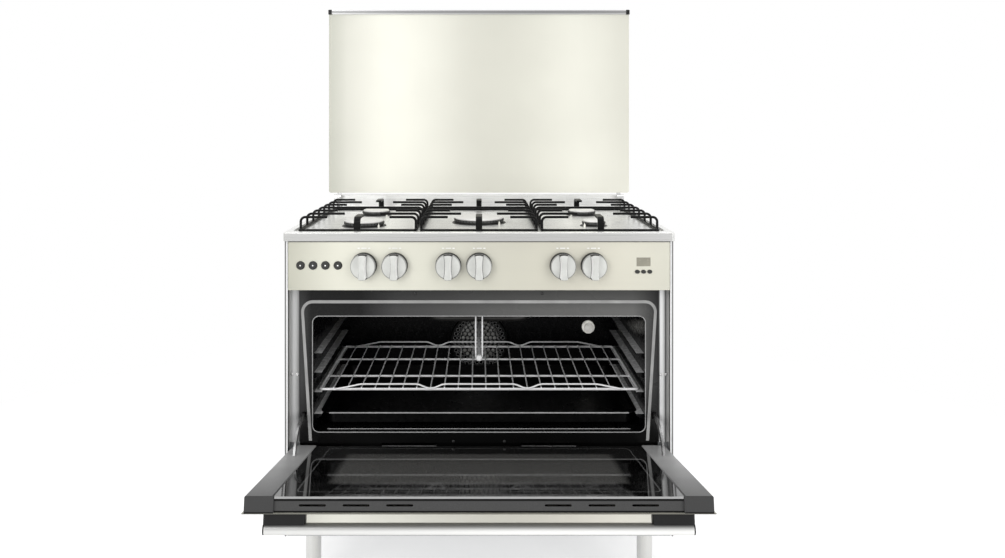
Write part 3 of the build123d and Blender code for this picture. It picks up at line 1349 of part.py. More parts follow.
def save_hob():
    save("worktop", worktop())
    save("burner_cups", *[burner_cup(*burner) for burner in BURNERS])
    save("burner_rings", *[burner_ring(*burner) for burner in BURNERS])
    save("burner_caps", *[burner_cap(*burner) for burner in BURNERS])
    save("electrodes", *[electrode(*burner) for burner in BURNERS])
    for name, x in (("left", -SUPPORT_PITCH), ("middle", 0), ("right", SUPPORT_PITCH)):
        save(f"pan_support_{name}", pan_support(x))
    save("lid_hinge_posts", *both_sides(lid_post()))
    save("lid_panel", lid_panel())
    save("lid_trim", lid_trim())
    save("lid_trim_caps", *both_sides(lid_cap()))
    save("lid_hinge_arms", *both_sides(lid_arm()))


def save_controls():
    save("control_panel", control_panel())
    save("timer_and_switches", timer_module(), switch_bank())
    save("gas_pipes", *gas_pipes())
    save("gas_taps", *[gas_tap(x) for x in KNOB_X])
    for number, x in enumerate(KNOB_X, 1):
        save(f"knob_{number}", *knob(x))
    for number, x in enumerate(BUTTON_X, 1):
        save(f"push_button_{number}", push_button(x))
    for number, x in enumerate(TIMER_BUTTON_X, 1):
        save(f"timer_button_{number}", timer_button(x))


def save_oven():
    save("oven_cavity", oven_cavity())
    save("oven_floor", oven_floor())
    save("door_gasket", gasket())
    save("oven_rack", oven_rack())
    save("oven_tray", oven_tray())
    save("fan_cover", fan_cover())
    save("oven_fan", oven_fan())
    save("motors", fan_motor(), spit_motor())
    save("spit", spit())
    save("spit_hanger", spit_hanger())
    save("oven_lamp", oven_lamp())
    save(
        "oven_burners",
        oven_burner(OVEN_BURNER_HALF, OVEN_BURNER_Z, OVEN_BURNER_RADIUS),
        oven_burner(GRILL_HALF, MOUTH_TOP - GRILL_DROP, GRILL_RADIUS),
    )


def save_door():
    save("door_skin", opened(door_skin()))
    save("door_outer_glass", opened(door_outer_glass()))
    save("door_side_rails", *[opened(rail) for rail in both_sides(door_side_rail())])
    save("door_cross_rails", *[opened(rail) for rail in door_cross_rails()])
    save("door_inner_glass", opened(door_inner_glass()))
    save("door_handle_bar", opened(handle_bar()))
    save("door_handle_brackets", *[opened(bracket) for bracket in both_sides(handle_bracket())])
    save("door_hinge_arms", *[opened(arm) for arm in both_sides(hinge_arm())])


def save_drawer():
    save("drawer_front", drawer_front())
    save("drawer_box", drawer_box())


def main():
    os.makedirs("parts", exist_ok=True)
    save_cabinet()
    save_hob()
    save_controls()
    save_oven()
    save_door()
    save_drawer()


if __name__ == "__main__":
    main()
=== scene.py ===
import math

import bmesh
import bpy
from mathutils import Matrix, Vector


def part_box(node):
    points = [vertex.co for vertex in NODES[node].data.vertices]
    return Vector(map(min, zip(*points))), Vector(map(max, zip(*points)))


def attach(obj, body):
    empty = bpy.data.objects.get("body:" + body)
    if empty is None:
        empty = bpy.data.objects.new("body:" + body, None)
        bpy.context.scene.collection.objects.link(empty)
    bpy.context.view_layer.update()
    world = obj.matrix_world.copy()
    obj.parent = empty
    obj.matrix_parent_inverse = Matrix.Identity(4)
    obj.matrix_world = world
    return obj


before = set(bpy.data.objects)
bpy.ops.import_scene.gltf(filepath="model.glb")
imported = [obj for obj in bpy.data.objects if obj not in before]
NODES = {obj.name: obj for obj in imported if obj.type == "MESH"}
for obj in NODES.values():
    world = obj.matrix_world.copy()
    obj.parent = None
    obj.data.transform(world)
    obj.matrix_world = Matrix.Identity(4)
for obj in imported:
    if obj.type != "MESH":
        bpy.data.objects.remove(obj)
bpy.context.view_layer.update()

# Camera: height and distance of the photograph's viewpoint, in metres
CAMERA_Y = -1.9175
CAMERA_Z = 1.1005
LENS = 28.03
SHIFT_X = 0.0234
SHIFT_Y = -0.155

# Light and floor, each lamp with its place, what it is turned to, its size and its watts
WORLD_STRENGTH = 0.62
FLOOR_SIZE = 12.0
FLOOR_DROP = 0.0005
FLOOR_FADE = (1.0, 2.2)
FLOOR_LIFT = 0.45
LAMPS = {
    "key": ((-1.9, -3.1, 1.8), (0, -0.1, 0.7), (1.8, 1.8), 58),
    "fill": ((2.3, -2.6, 1.3), (0, -0.1, 0.7), (1.6, 2.2), 40),
    "top": ((0, -0.2, 3.4), (0, 0.0, 0.8), (2.4, 1.6), 22),
}

# Directions at rest: ahead of the cooker, up, and on the open door towards its head and out through its skin
FRONT_WAY = (0.0, -1.0, 0.0)
UP_WAY = (0.0, 0.0, 1.0)
OPEN = math.radians(80.5)
HEAD_WAY = (0.0, -math.sin(OPEN), math.cos(OPEN))
OUT_WAY = (0.0, -math.cos(OPEN), -math.sin(OPEN))

# Places of the nodes that more than one piece or material is measured from
COLUMN_LOW, COLUMN_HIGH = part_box("front_columns")
FRAME_LOW, FRAME_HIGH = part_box("front_frame")

# The part of a noise's range that is spread out, and the cosines between which a surface faces a direction
NOISE_RANGE = (0.3, 0.7)
FACE_RANGE = (0.6, 0.95)


def linear(red, green, blue):
    """An sRGB colour, 0 to 255, as the shaders take it."""
    scaled = [value / 255 for value in (red, green, blue)]
    return tuple(v / 12.92 if v <= 0.04045 else ((v + 0.055) / 1.055) ** 2.4 for v in scaled)


def grey(level):
    return linear(level, level, level)


def even(share):
    """The same share of red, green and blue."""
    return (share, share, share)


def shade(colour, factor):
    return tuple(min(1.0, value * factor) for value in colour)


def greys(stops):
    """A ramp's stops from pairs of a place and an sRGB level."""
    return [(place, grey(level)) for place, level in stops]


def evens(stops):
    """A ramp's stops from pairs of a place and a share of red, green and blue."""
    return [(place, even(share)) for place, share in stops]


class Paint:
    """A node material on one Principled shader."""

    def __init__(self, name, **sockets):
        self.material = bpy.data.materials.new(name)
        self.material.use_nodes = True
        self.tree = self.material.node_tree
        self.shader = self.tree.nodes["Principled BSDF"]
        for key, value in sockets.items():
            self.shader.inputs[key.replace("_", " ")].default_value = value

    def add(self, kind, **settings):
        made = self.tree.nodes.new("ShaderNode" + kind)
        for key, value in settings.items():
            setattr(made, key, value)
        return made

    def join(self, out, into):
        self.tree.links.new(out, into)

    def feed(self, socket, value):
        """Gives a socket another socket's output, a colour or a plain number."""
        if isinstance(value, bpy.types.NodeSocket):
            self.join(value, socket)
        elif isinstance(value, tuple):
            socket.default_value = (*value, 1.0)
        else:
            socket.default_value = value

    def coords(self, kind="Object"):
        """Texture coordinates; Object ones are in metres."""
        return self.add("TexCoord").outputs[kind]

    def noise(self, scale, stretch=(1, 1, 1), detail=2.0, rough=0.55):
        """Noise in the object's own coordinates, drawn out along X, Y and Z."""
        mapping = self.add("Mapping")
        mapping.inputs["Scale"].default_value = stretch
        self.join(self.coords(), mapping.inputs["Vector"])
        made = self.add("TexNoise")
        for key, value in (("Scale", scale), ("Detail", detail), ("Roughness", rough)):
            made.inputs[key].default_value = value
        self.join(mapping.outputs["Vector"], made.inputs["Vector"])
        return made.outputs["Fac"]

    def ramp(self, value, stops, smooth=False):
        made = self.add("ValToRGB")
        made.color_ramp.interpolation = "B_SPLINE" if smooth else "LINEAR"
        points = made.color_ramp.elements
        while len(points) < len(stops):
            points.new(0.5)
        for point, (position, colour) in zip(points, stops):
            point.position = position
            point.color = (*colour, 1.0)
        self.join(value, made.inputs["Fac"])
        return made.outputs["Color"]

    def span(self, value, low, high, start=0.0, end=1.0):
        """Goes from low to high while a value goes from start to end."""
        made = self.add("MapRange")
        for key, number in (("From Min", start), ("From Max", end), ("To Min", low), ("To Max", high)):
            made.inputs[key].default_value = number
        self.join(value, made.inputs["Value"])
        return made.outputs["Result"]

    def vary(self, noise, low=0.0, high=1.0):
        """A noise, spread out from low to high."""
        return self.span(noise, low, high, *NOISE_RANGE)

    def cloud(self, value, low, high, places=NOISE_RANGE):
        """One colour where a value, such as a noise, is low and another where it is high."""
        return self.ramp(value, list(zip(places, (low, high))))

    def mix(self, share, first, second, blend="MIX"):
        made = self.add("Mix", data_type="RGBA", blend_type=blend)
        for socket, value in ((made.inputs[0], share), (made.inputs[6], first), (made.inputs[7], second)):
            self.feed(socket, value)
        return made.outputs[2]

    def times(self, tone, factor):
        """A colour multiplied by another."""
        return self.mix(1.0, tone, factor, "MULTIPLY")

    def math(self, operation, *values):
        """One step of arithmetic on sockets or plain numbers."""
        made = self.add("Math", operation=operation)
        for socket, value in zip(made.inputs, values):
            self.feed(socket, value)
        return made.outputs[0]

    def split(self, coords):
        made = self.add("SeparateXYZ")
        self.join(coords, made.inputs["Vector"])
        return made.outputs

    def along(self, axis):
        """One of the object's own coordinates, in metres."""
        return self.split(self.coords())[axis]

    def beside(self):
        """How far a point lies to either side of the cooker's middle, in metres."""
        return self.math("ABSOLUTE", self.along("X"))

    def dot(self, coords, direction):
        made = self.add("VectorMath", operation="DOT_PRODUCT")
        made.inputs[1].default_value = direction
        self.join(coords, made.inputs[0])
        return made.outputs["Value"]

    def toward(self, direction):
        """How far a point lies along a direction fixed to the piece, in metres."""
        return self.dot(self.coords(), direction)

    def facing(self, direction, start=FACE_RANGE[0], end=FACE_RANGE[1]):
        """1 where the surface faces a direction fixed to the piece, 0 where it turns away."""
        return self.span(self.dot(self.coords("Normal"), direction), 0.0, 1.0, start, end)

    def length(self, vector):
        made = self.add("VectorMath", operation="LENGTH")
        self.join(vector, made.inputs[0])
        return made.outputs["Value"]

    def finish(self, colour, rough, height, strength, distance):
        """Links the colour and the roughness, and a bump from a height."""
        self.join(colour, self.shader.inputs["Base Color"])
        self.join(rough, self.shader.inputs["Roughness"])
        bump = self.add("Bump")
        bump.inputs["Strength"].default_value = strength
        bump.inputs["Distance"].default_value = distance
        self.join(height, bump.inputs["Height"])
        self.join(bump.outputs["Normal"], self.shader.inputs["Normal"])
        return self.material


def brushed(name, colour, grain, rough, metallic, contrast, bump, bands=(), side=None):
    """Brushed sheet metal. grain is the stretch of the brush marks along X, Y and Z; bands paint light and
    shade along axes, and side paints shade on what faces one way, if it gives a limit only ahead of that
    place."""
    paint = Paint(name, Metallic=metallic)
    marks = paint.noise(1.0, grain, detail=5.0, rough=0.65)
    soft = paint.noise(5.0)
    tone = paint.cloud(marks, shade(colour, 1 - contrast), shade(colour, 1 + contrast / 2))
    tone = paint.mix(0.5, tone, paint.cloud(soft, shade(colour, 0.95), shade(colour, 1.03), (0.35, 0.65)))
    for axis, start, end, stops in bands:
        place = paint.span(paint.along(axis), 0.0, 1.0, start, end)
        tone = paint.times(tone, paint.ramp(place, stops, smooth=True))
    if side:
        way, factor, *limit = side
        share = paint.facing(way)
        for ahead in limit:
            share = paint.math("MULTIPLY", share, paint.math("LESS_THAN", paint.along("Y"), ahead))
        tone = paint.mix(share, tone, paint.times(tone, even(factor)))
    return paint.finish(tone, paint.vary(marks, rough - 0.06, rough + 0.08), marks, bump, 0.0002)


def enamel(name, colour, fleck, rough, flecks=420.0, amount=0.68, gloss=0.5):
    """Stove enamel: fine flecks under a glossy, slightly rippled skin."""
    paint = Paint(name, Specular_IOR_Level=gloss)
    spots = paint.noise(flecks, detail=1.0)
    ripple = paint.noise(90.0)
    tone = paint.cloud(spots, colour, fleck, (amount, amount + 0.03))
    tone = paint.mix(0.35, tone, paint.cloud(ripple, shade(colour, 0.75), shade(colour, 1.3)))
    return paint.finish(tone, paint.vary(ripple, rough - 0.04, rough + 0.1), ripple, 0.06, 0.0006)


def plastic(name, colour, rough, grain=1400.0, bump=0.08, gloss=0.5):
    """Moulded plastic with a fine spark-eroded grain."""
    paint = Paint(name, Specular_IOR_Level=gloss)
    texture = paint.noise(grain)
    tone = paint.cloud(paint.noise(22.0), shade(colour, 0.85), shade(colour, 1.15))
    return paint.finish(tone, paint.vary(texture, rough - 0.08, rough + 0.1), texture, bump, 0.0001)


def plated(name, colour, rough, wear=0.12, metallic=1.0):
    """Chrome or polished steel with faint handling marks."""
    paint = Paint(name, Metallic=metallic)
    marks = paint.noise(60.0, detail=4.0)
    tone = paint.cloud(marks, shade(colour, 1 - wear), colour)
    return paint.finish(tone, paint.vary(marks, rough - 0.04, rough + 0.1), marks, 0.02, 0.0002)


def dress(material, *names):
    for name in names:
        piece = NODES[name]
        piece.data.materials.clear()
        piece.data.materials.append(material)


def band(box, axis, stops):
    """Shades over the length of a node's box, as brushed takes them."""
    low, high = (getattr(corner, axis.lower()) for corner in box)
    return axis, low, high, evens(stops)


# Cream-toned brushed steel with painted reflections: soft light bands that run up the lid and along the
# panel, door skin and drawer front
LID_REFLECTION_BANDS = (
    "X",
    -0.45,
    0.45,
    [
        (0.0, (0.5, 0.51, 0.49)),
        (0.06, (0.66, 0.66, 0.66)),
        (0.19, (0.98, 0.98, 0.98)),
        (0.36, (0.84, 0.84, 0.84)),
        (0.5, (0.7, 0.7, 0.69)),
        (0.68, (0.78, 0.78, 0.77)),
        (0.84, (0.93, 0.93, 0.93)),
        (1.0, (0.68, 0.68, 0.67)),
    ],
)
PANEL_REFLECTION_BANDS = (
    "X",
    -0.44,
    0.44,
    [
        (0.0, (0.5, 0.5, 0.47)),
        (0.14, (0.94, 0.94, 0.92)),
        (0.38, (0.81, 0.81, 0.79)),
        (0.6, (0.67, 0.66, 0.63)),
        (0.85, (0.83, 0.81, 0.78)),
        (1.0, (0.69, 0.69, 0.67)),
    ],
)
# painted shade: the lid grows darker towards its top
LID_SHADE_RISE = band(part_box("lid_panel"), "Z", ((0.0, 1.0), (0.3, 0.9), (1.0, 0.8)))
LID_CREAM = linear(245, 244, 232)
PANEL_CREAM = linear(231, 230, 218)
DRAWER_CREAM = linear(238, 237, 230)
# painted shade: the door skin's edge that faces the door's head is darkened
SKIN_EDGE_SHADE = (HEAD_WAY, 0.2)
PANEL_FINISH_AND_PAINTED_LIGHT = {"rough": 0.36, "metallic": 0.4, "contrast": 0.04, "bump": 0.03, "bands": [PANEL_REFLECTION_BANDS]}
LID_FINISH_AND_PAINTED_LIGHT = {"rough": 0.4, "metallic": 0.2, "contrast": 0.03, "bump": 0.03, "bands": [LID_REFLECTION_BANDS, LID_SHADE_RISE]}
dress(brushed("lid_steel", LID_CREAM, (1400, 1400, 6), **LID_FINISH_AND_PAINTED_LIGHT), "lid_panel")
dress(brushed("panel_steel", PANEL_CREAM, (5, 900, 1600), **PANEL_FINISH_AND_PAINTED_LIGHT), "control_panel")
dress(brushed("door_steel", PANEL_CREAM, (5, 900, 900), side=SKIN_EDGE_SHADE, **PANEL_FINISH_AND_PAINTED_LIGHT), "door_skin")
dress(brushed("drawer_steel", DRAWER_CREAM, (5, 900, 1600), **PANEL_FINISH_AND_PAINTED_LIGHT), "drawer_front")

# Stainless worktop, trim and handle, with painted shade and reflections on the sides that meet dark
# neighbours: the worktop's front lip, and bands along the trim and the handle
HOB_LIP_SHADE_REACH = 0.03
HOB_LIP_SHADE = (FRONT_WAY, 0.56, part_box("worktop")[0].y + HOB_LIP_SHADE_REACH)
# painted reflection: light and dark bands up the lid's trim
TRIM_REFLECTION_BANDS = band(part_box("lid_trim"), "Z", ((0.0, 0.8), (0.3, 0.5), (0.55, 0.2), (0.8, 0.6), (1.0, 1.0)))
GRIP_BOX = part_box("door_handle_bar")
# painted reflection and shade: the handle bar is dark on top, light below that and dimmer at its foot
GRIP_REFLECTION_BANDS = band(
    GRIP_BOX,
    "Z",
    (
        (0.0, 0.4),
        (0.1, 0.78),
        (0.22, 0.88),
        (0.52, 0.92),
        (0.64, 0.74),
        (0.76, 0.4),
        (0.88, 0.2),
        (1.0, 0.18),
    ),
)
# painted shade: the handle bar darkens towards its left end
GRIP_SHADE_RUN = band(GRIP_BOX, "X", ((0.0, 0.82), (0.3, 0.9), (0.6, 1.0), (1.0, 1.0)))
hob_steel = brushed(
    "hob_steel",
    linear(236, 236, 234),
    (5, 1300, 1300),
    0.3,
    metallic=0.5,
    contrast=0.05,
    bump=0.05,
    side=HOB_LIP_SHADE,
)
trim_steel = brushed(
    "trim_aluminium",
    grey(200),
    (4, 1600, 1600),
    0.34,
    metallic=0.7,
    contrast=0.1,
    bump=0.06,
    bands=[TRIM_REFLECTION_BANDS],
)
handle_steel = brushed(
    "handle_steel",
    linear(240, 240, 238),
    (4, 1500, 1500),
    0.34,
    metallic=0.4,
    contrast=0.05,
    bump=0.04,
    bands=[GRIP_REFLECTION_BANDS, GRIP_SHADE_RUN],
)
dress(hob_steel, "worktop")
dress(trim_steel, "lid_trim")
dress(handle_steel, "door_handle_bar")

# Polished uprights with painted reflections, light and dark streaks from the oven's side outwards, as (share
# of the width, level)
LEFT_REFLECTIONS = ((0.05, 75), (0.15, 145), (0.6, 255), (0.9, 240), (1.0, 190))
RIGHT_REFLECTIONS = ((0.12, 60), (0.22, 255), (0.4, 255), (0.6, 215), (0.67, 30), (0.76, 170), (1.0, 220))


def column_material():
    """Polished steel with painted reflections: the soft light and dark streaks of a rounded upright."""
    paint = Paint("column_steel", Metallic=0.1)
    marks = paint.noise(1.0, (900, 900, 4), detail=5.0)
    across = paint.span(paint.beside(), 0.0, 1.0, FRAME_HIGH.x, COLUMN_HIGH.x)
    left, right = (paint.ramp(across, greys(streaks)) for streaks in (LEFT_REFLECTIONS, RIGHT_REFLECTIONS))
    tone = paint.mix(paint.math("GREATER_THAN", paint.along("X"), 0.0), left, right)
    tone = paint.mix(paint.vary(marks, 0.0, 0.2), tone, grey(150))
    return paint.finish(tone, paint.vary(marks, 0.2, 0.34), marks, 0.03, 0.0002)


# Side panels with painted highlights and shade on the lips that stand before the uprights and on the front
# flanges
SIDE_LOW, SIDE_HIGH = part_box("side_panels")
SKIN_DEPTH = 0.0006  # depth of the outer skin
LIP_LIGHT_AND_SHADE = ((0.0, 255), (0.6, 255), (0.76, 60), (1.0, 40))  # painted highlight and shade, from the front back
FLANGE = 0.0065  # width of a flange
FLANGE_LIGHT_AND_SHADE = ((0.34, 240), (0.46, 118))  # painted highlight and shade on the front faces, from the inside out


def cabinet_material():
    """Pale painted sheet with painted highlights and shade, bright and dark streaks, on its front flanges
    and on the lips behind them.
    """
    paint = Paint("cabinet_paint")
    marks = paint.noise(40.0, detail=5.0, rough=0.65)
    tone = paint.cloud(marks, linear(206, 206, 203), linear(215, 215, 212))
    inner = paint.math("LESS_THAN", paint.beside(), SIDE_HIGH.x - SKIN_DEPTH)
    ahead = paint.math("LESS_THAN", paint.along("Y"), COLUMN_LOW.y)
    run = paint.span(paint.along("Y"), 0.0, 1.0, SIDE_LOW.y, COLUMN_LOW.y)
    tone = paint.mix(paint.math("MULTIPLY", inner, ahead), tone, paint.ramp(run, greys(LIP_LIGHT_AND_SHADE)))
    across = paint.span(paint.beside(), 0.0, 1.0, SIDE_HIGH.x - FLANGE, SIDE_HIGH.x)
    tone = paint.mix(paint.facing(FRONT_WAY), tone, paint.ramp(across, greys(FLANGE_LIGHT_AND_SHADE)))
    return paint.finish(tone, paint.vary(marks, 0.34, 0.48), marks, 0.05, 0.0002)


hinge_chrome = plated("hinge_chrome", even(0.66), 0.2)
arm_steel = plated("arm_steel", even(0.34), 0.28, wear=0.5)
wire_chrome = plated("wire_chrome", even(0.8), 0.28, wear=0.06, metallic=0.15)
leg_steel = brushed(
    "leg_steel", linear(206, 206, 204), (900, 900, 4), 0.18, metallic=0.95, contrast=0.14, bump=0.03
)
zinc = brushed(
    "galvanised_sheet", linear(158, 160, 162), (26, 26, 26), 0.4, metallic=0.85, contrast=0.22, bump=0.04
)
dress(column_material(), "front_columns")
dress(cabinet_material(), "side_panels")
dress(leg_steel, "legs")
dress(hinge_chrome, "lid_hinge_posts", "lid_hinge_arms")
dress(arm_steel, "door_hinge_arms")
dress(wire_chrome, "oven_rack", "spit", "spit_hanger")
dress(zinc, "rear_panel", "base_pan", "door_hinge_cases", "drawer_runners", "drawer_box", "motors")

# Enamel of the oven and its front
FRAME_SHADE_FOOT = (0.385, 0.5)  # painted shade: the frame is black below these heights and shows its painted reflections above them
FRAME_SHADE_BROW = (0.66, 0.69)  # painted light: it is paler below these heights
FRAME_REFLECTIONS = (  # painted reflections: share of its width and colour
    (0.0, grey(56)),
    (0.03, grey(6)),
    (0.17, grey(6)),
    (0.27, grey(52)),
    (0.6, linear(72, 72, 71)),
    (0.93, linear(80, 80, 79)),
    (1.0, grey(34)),
)
LEDGE_INNER = 0.372  # the cavity's ledges lie further than this from the middle


def frame_material():
    """Dark enamel with painted shade that turns it black at its foot, paler below its brow, and painted
    reflections whose tones change across its width.
    """
    paint = Paint("frame_enamel", Specular_IOR_Level=0.2)
    spots = paint.noise(900.0, detail=1.0)
    clouds = paint.noise(6.0, (1, 1, 2))
    tone = paint.ramp(paint.span(paint.along("X"), 0.0, 1.0, FRAME_LOW.x, FRAME_HIGH.x), FRAME_REFLECTIONS)
    tone = paint.mix(paint.vary(clouds, 0.0, 0.5), tone, paint.times(tone, even(0.7)))
    tone = paint.mix(paint.span(spots, 0.0, 0.12, 0.5, 0.75), tone, grey(104))
    painted_lighter = paint.times(tone, even(1.6))
    tone = paint.mix(paint.span(paint.along("Z"), 1.0, 0.0, *FRAME_SHADE_BROW), tone, painted_lighter)
    tone = paint.mix(paint.span(paint.along("Z"), 0.0, 1.0, *FRAME_SHADE_FOOT), grey(2), tone)
    return paint.finish(tone, paint.vary(clouds, 0.24, 0.36), spots, 0.03, 0.0003)


def oven_material():
    """Near-black enamel with painted highlights where the shelf ledges face up."""
    paint = Paint("oven_enamel", Specular_IOR_Level=0.12, Coat_Weight=0.06, Coat_Roughness=0.08)
    spots = paint.noise(500.0, detail=1.0)
    ripple = paint.noise(90.0)
    tone = paint.cloud(spots, linear(7, 7, 8), linear(20, 20, 21), (0.62, 0.72))
    # painted highlight on the upward faces of the shelf ledges
    side = paint.math("GREATER_THAN", paint.beside(), LEDGE_INNER)
    ledge_highlight = paint.math("MULTIPLY", side, paint.facing(UP_WAY, 0.7, 0.9))
    tone = paint.mix(ledge_highlight, tone, paint.cloud(ripple, grey(196), grey(222)))
    return paint.finish(tone, paint.vary(ripple, 0.18, 0.32), ripple, 0.05, 0.0006)


# Fan cover: the pitch, number and size of its rings of holes, and the width of the painted glint round each
# hole
HOLE_PITCH = 0.0116
HOLE_RINGS = 6
HOLE_TURN = math.pi / 3  # between the holes of the first ring
HOLE_RADIUS = 0.0042
HOLE_GLINT = 0.0016


def cover_material():
    """Blackened steel with painted glints round the holes that are set out in rings."""
    paint = Paint("cover_steel", Metallic=0.2, Specular_IOR_Level=0.2)
    low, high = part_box("fan_cover")
    grain = paint.noise(500.0, detail=3.0)

    def squared_sum(first, second):
        return paint.math("ADD", paint.math("POWER", first, 2.0), paint.math("POWER", second, 2.0))

    across = paint.math("SUBTRACT", paint.along("X"), (low.x + high.x) / 2)
    rise = paint.math("SUBTRACT", paint.along("Z"), (low.z + high.z) / 2)
    out = paint.math("SQRT", squared_sum(across, rise))
    turn = paint.math("ARCTAN2", rise, across)
    ring = paint.math("MINIMUM", paint.math("ROUND", paint.math("DIVIDE", out, HOLE_PITCH)), HOLE_RINGS)
    step = paint.math("DIVIDE", HOLE_TURN, paint.math("MAXIMUM", ring, 1.0))
    nearest = paint.math("MULTIPLY", paint.math("ROUND", paint.math("DIVIDE", turn, step)), step)
    aside = paint.math("MULTIPLY", paint.math("SUBTRACT", turn, nearest), out)
    beyond = paint.math("SUBTRACT", out, paint.math("MULTIPLY", ring, HOLE_PITCH))
    away = paint.math("SQRT", squared_sum(aside, beyond))
    # painted glint: a light grey ring round each hole
    glint = paint.span(away, 1.0, 0.0, HOLE_RADIUS, HOLE_RADIUS + HOLE_GLINT)
    tone = paint.mix(glint, paint.cloud(grain, grey(4), grey(16)), grey(140))
    return paint.finish(tone, paint.vary(grain, 0.24, 0.4), grain, 0.06, 0.0003)


floor_enamel = enamel("floor_enamel", grey(6), grey(18), 0.26, gloss=0.25)
tray_enamel = enamel("tray_enamel", grey(3), grey(9), 0.3, gloss=0.15)
support_enamel = enamel("support_enamel", grey(4), grey(14), 0.36, flecks=900.0, amount=0.62, gloss=0.14)
dress(frame_material(), "front_frame")
dress(oven_material(), "oven_cavity")
dress(floor_enamel, "oven_floor")
dress(tray_enamel, "oven_tray")
dress(cover_material(), "fan_cover")
dress(support_enamel, "pan_support_left", "pan_support_middle", "pan_support_right")


def lamp_material():
    """Frosted lamp glass with a faint warm glow."""
    paint = Paint("lamp_glass", Roughness=0.12, Emission_Strength=0.35)
    glow = paint.noise(140.0)
    frost = paint.cloud(glow, (0.75, 0.75, 0.72), (0.95, 0.95, 0.92))
    light = paint.cloud(glow, (0.55, 0.54, 0.5), (1.0, 0.98, 0.92))
    paint.join(frost, paint.shader.inputs["Base Color"])
    paint.join(light, paint.shader.inputs["Emission Color"])
    return paint.material


# Burners, pipes and the oven's fittings
cast_alloy = brushed(
    "cast_alloy", linear(206, 205, 201), (300, 300, 300), 0.42, metallic=0.5, contrast=0.16, bump=0.12
)
cap_alloy = brushed(
    "cap_alloy", linear(228, 227, 224), (160, 160, 160), 0.5, metallic=0.2, contrast=0.08, bump=0.1
)
# dark grey for the burner rings and cups, which paints the shade under the caps and in the burner ports
shaded_ring_alloy = brushed(
    "shaded_ring_alloy", linear(74, 74, 73), (220, 220, 220), 0.5, metallic=0.6, contrast=0.2, bump=0.1
)
burner_steel = brushed(
    "burner_steel", linear(62, 61, 60), (240, 240, 240), 0.45, metallic=0.9, contrast=0.25, bump=0.08
)
dress(cast_alloy, "gas_pipes", "oven_fan")
dress(cap_alloy, "burner_caps")
dress(shaded_ring_alloy, "burner_cups", "burner_rings")
dress(burner_steel, "oven_burners")
dress(plated("tap_brass", linear(186, 154, 92), 0.28), "gas_taps")
dress(plastic("glazed_ceramic", linear(236, 234, 226), 0.15, grain=500.0, bump=0.02), "electrodes")
dress(plastic("woven_seal", linear(152, 152, 151), 0.45, grain=700.0, bump=0.4), "door_gasket")
dress(lamp_material(), "oven_lamp")

# Door rails: the side rails' painted shade from head to foot, and the cross rails' lines through the door's
# depth
RAIL_LOW, RAIL_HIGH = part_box("door_side_rails")
RAIL_SHADE_RUN = ((0.0, 88), (0.25, 120), (0.7, 170))
RIGHT_RAIL_LIGHT = 1.12  # painted light: how much lighter the right one is
EDGE_LINE_WIDTH = 0.0032  # width of the black line along their ends
CROSS_LINES = ((0.0, 2), (0.16, 2), (0.22, 66), (0.86, 66), (0.9, 2), (1.0, 2))


def depths(node):
    """How far each corner of a node lies out through the open door, in metres."""
    return [Vector(OUT_WAY).dot(corner.co) for corner in NODES[node].data.vertices]


def rail_material():
    """Grey painted rails with painted shade, darker towards the door's head and on the ends that face it,
    the right rail painted lighter, and a black line along those ends.
    """
    paint = Paint("rail_paint", Metallic=0.25, Specular_IOR_Level=0.2)
    grain = paint.noise(800.0, detail=3.0)
    run = paint.span(paint.along("Y"), 0.0, 1.0, RAIL_LOW.y, RAIL_HIGH.y)
    tone = paint.ramp(run, greys(RAIL_SHADE_RUN))
    right = paint.math("GREATER_THAN", paint.along("X"), 0.0)
    tone = paint.mix(right, tone, paint.times(tone, even(RIGHT_RAIL_LIGHT)))
    tone = paint.mix(paint.vary(paint.noise(14.0)), paint.times(tone, even(0.88)), tone)
    outer = max(depths("door_side_rails"))
    edge_line = paint.span(paint.toward(OUT_WAY), 0.0, 1.0, outer - EDGE_LINE_WIDTH, outer - EDGE_LINE_WIDTH / 2)
    tone = paint.mix(paint.facing(HEAD_WAY, 0.6, 0.8), tone, paint.mix(edge_line, grey(60), grey(2)))
    return paint.finish(tone, paint.vary(grain, 0.34, 0.48), grain, 0.06, 0.0001)


def cross_material():
    """Dark rails with a paler middle between their edges."""
    paint = Paint("rail_dark", Specular_IOR_Level=0.1)
    grain = paint.noise(800.0)
    reach = depths("door_cross_rails")
    depth = paint.span(paint.toward(OUT_WAY), 0.0, 1.0, min(reach), max(reach))
    tone = paint.ramp(depth, greys(CROSS_LINES))
    tone = paint.mix(paint.span(grain, 0.0, 1.0, 0.4, 0.7), tone, paint.times(tone, even(1.25)))
    return paint.finish(tone, paint.vary(grain, 0.32, 0.5), grain, 0.06, 0.0001)


# Inner glass with a printed line round it, a paler field inside the line, and a painted highlight on its
# edge
LINE_SIDE = 0.035  # how far the line lies in from the sides, the head and the foot
LINE_HEAD = 0.03
LINE_FOOT = 0.022
LINE_CORNER = 0.02  # rounding of its corners
LINE_HALF = 0.0012  # half its width
LINE_INK = even(0.11)
FIELD_EDGE = (-0.06, -0.045)  # where the field fades out, measured from the line
FIELD_TONE = (0.075, 0.074, 0.071)
GLASS_EDGE_HIGHLIGHT = even(0.3)  # painted highlight on the edge at the door's head


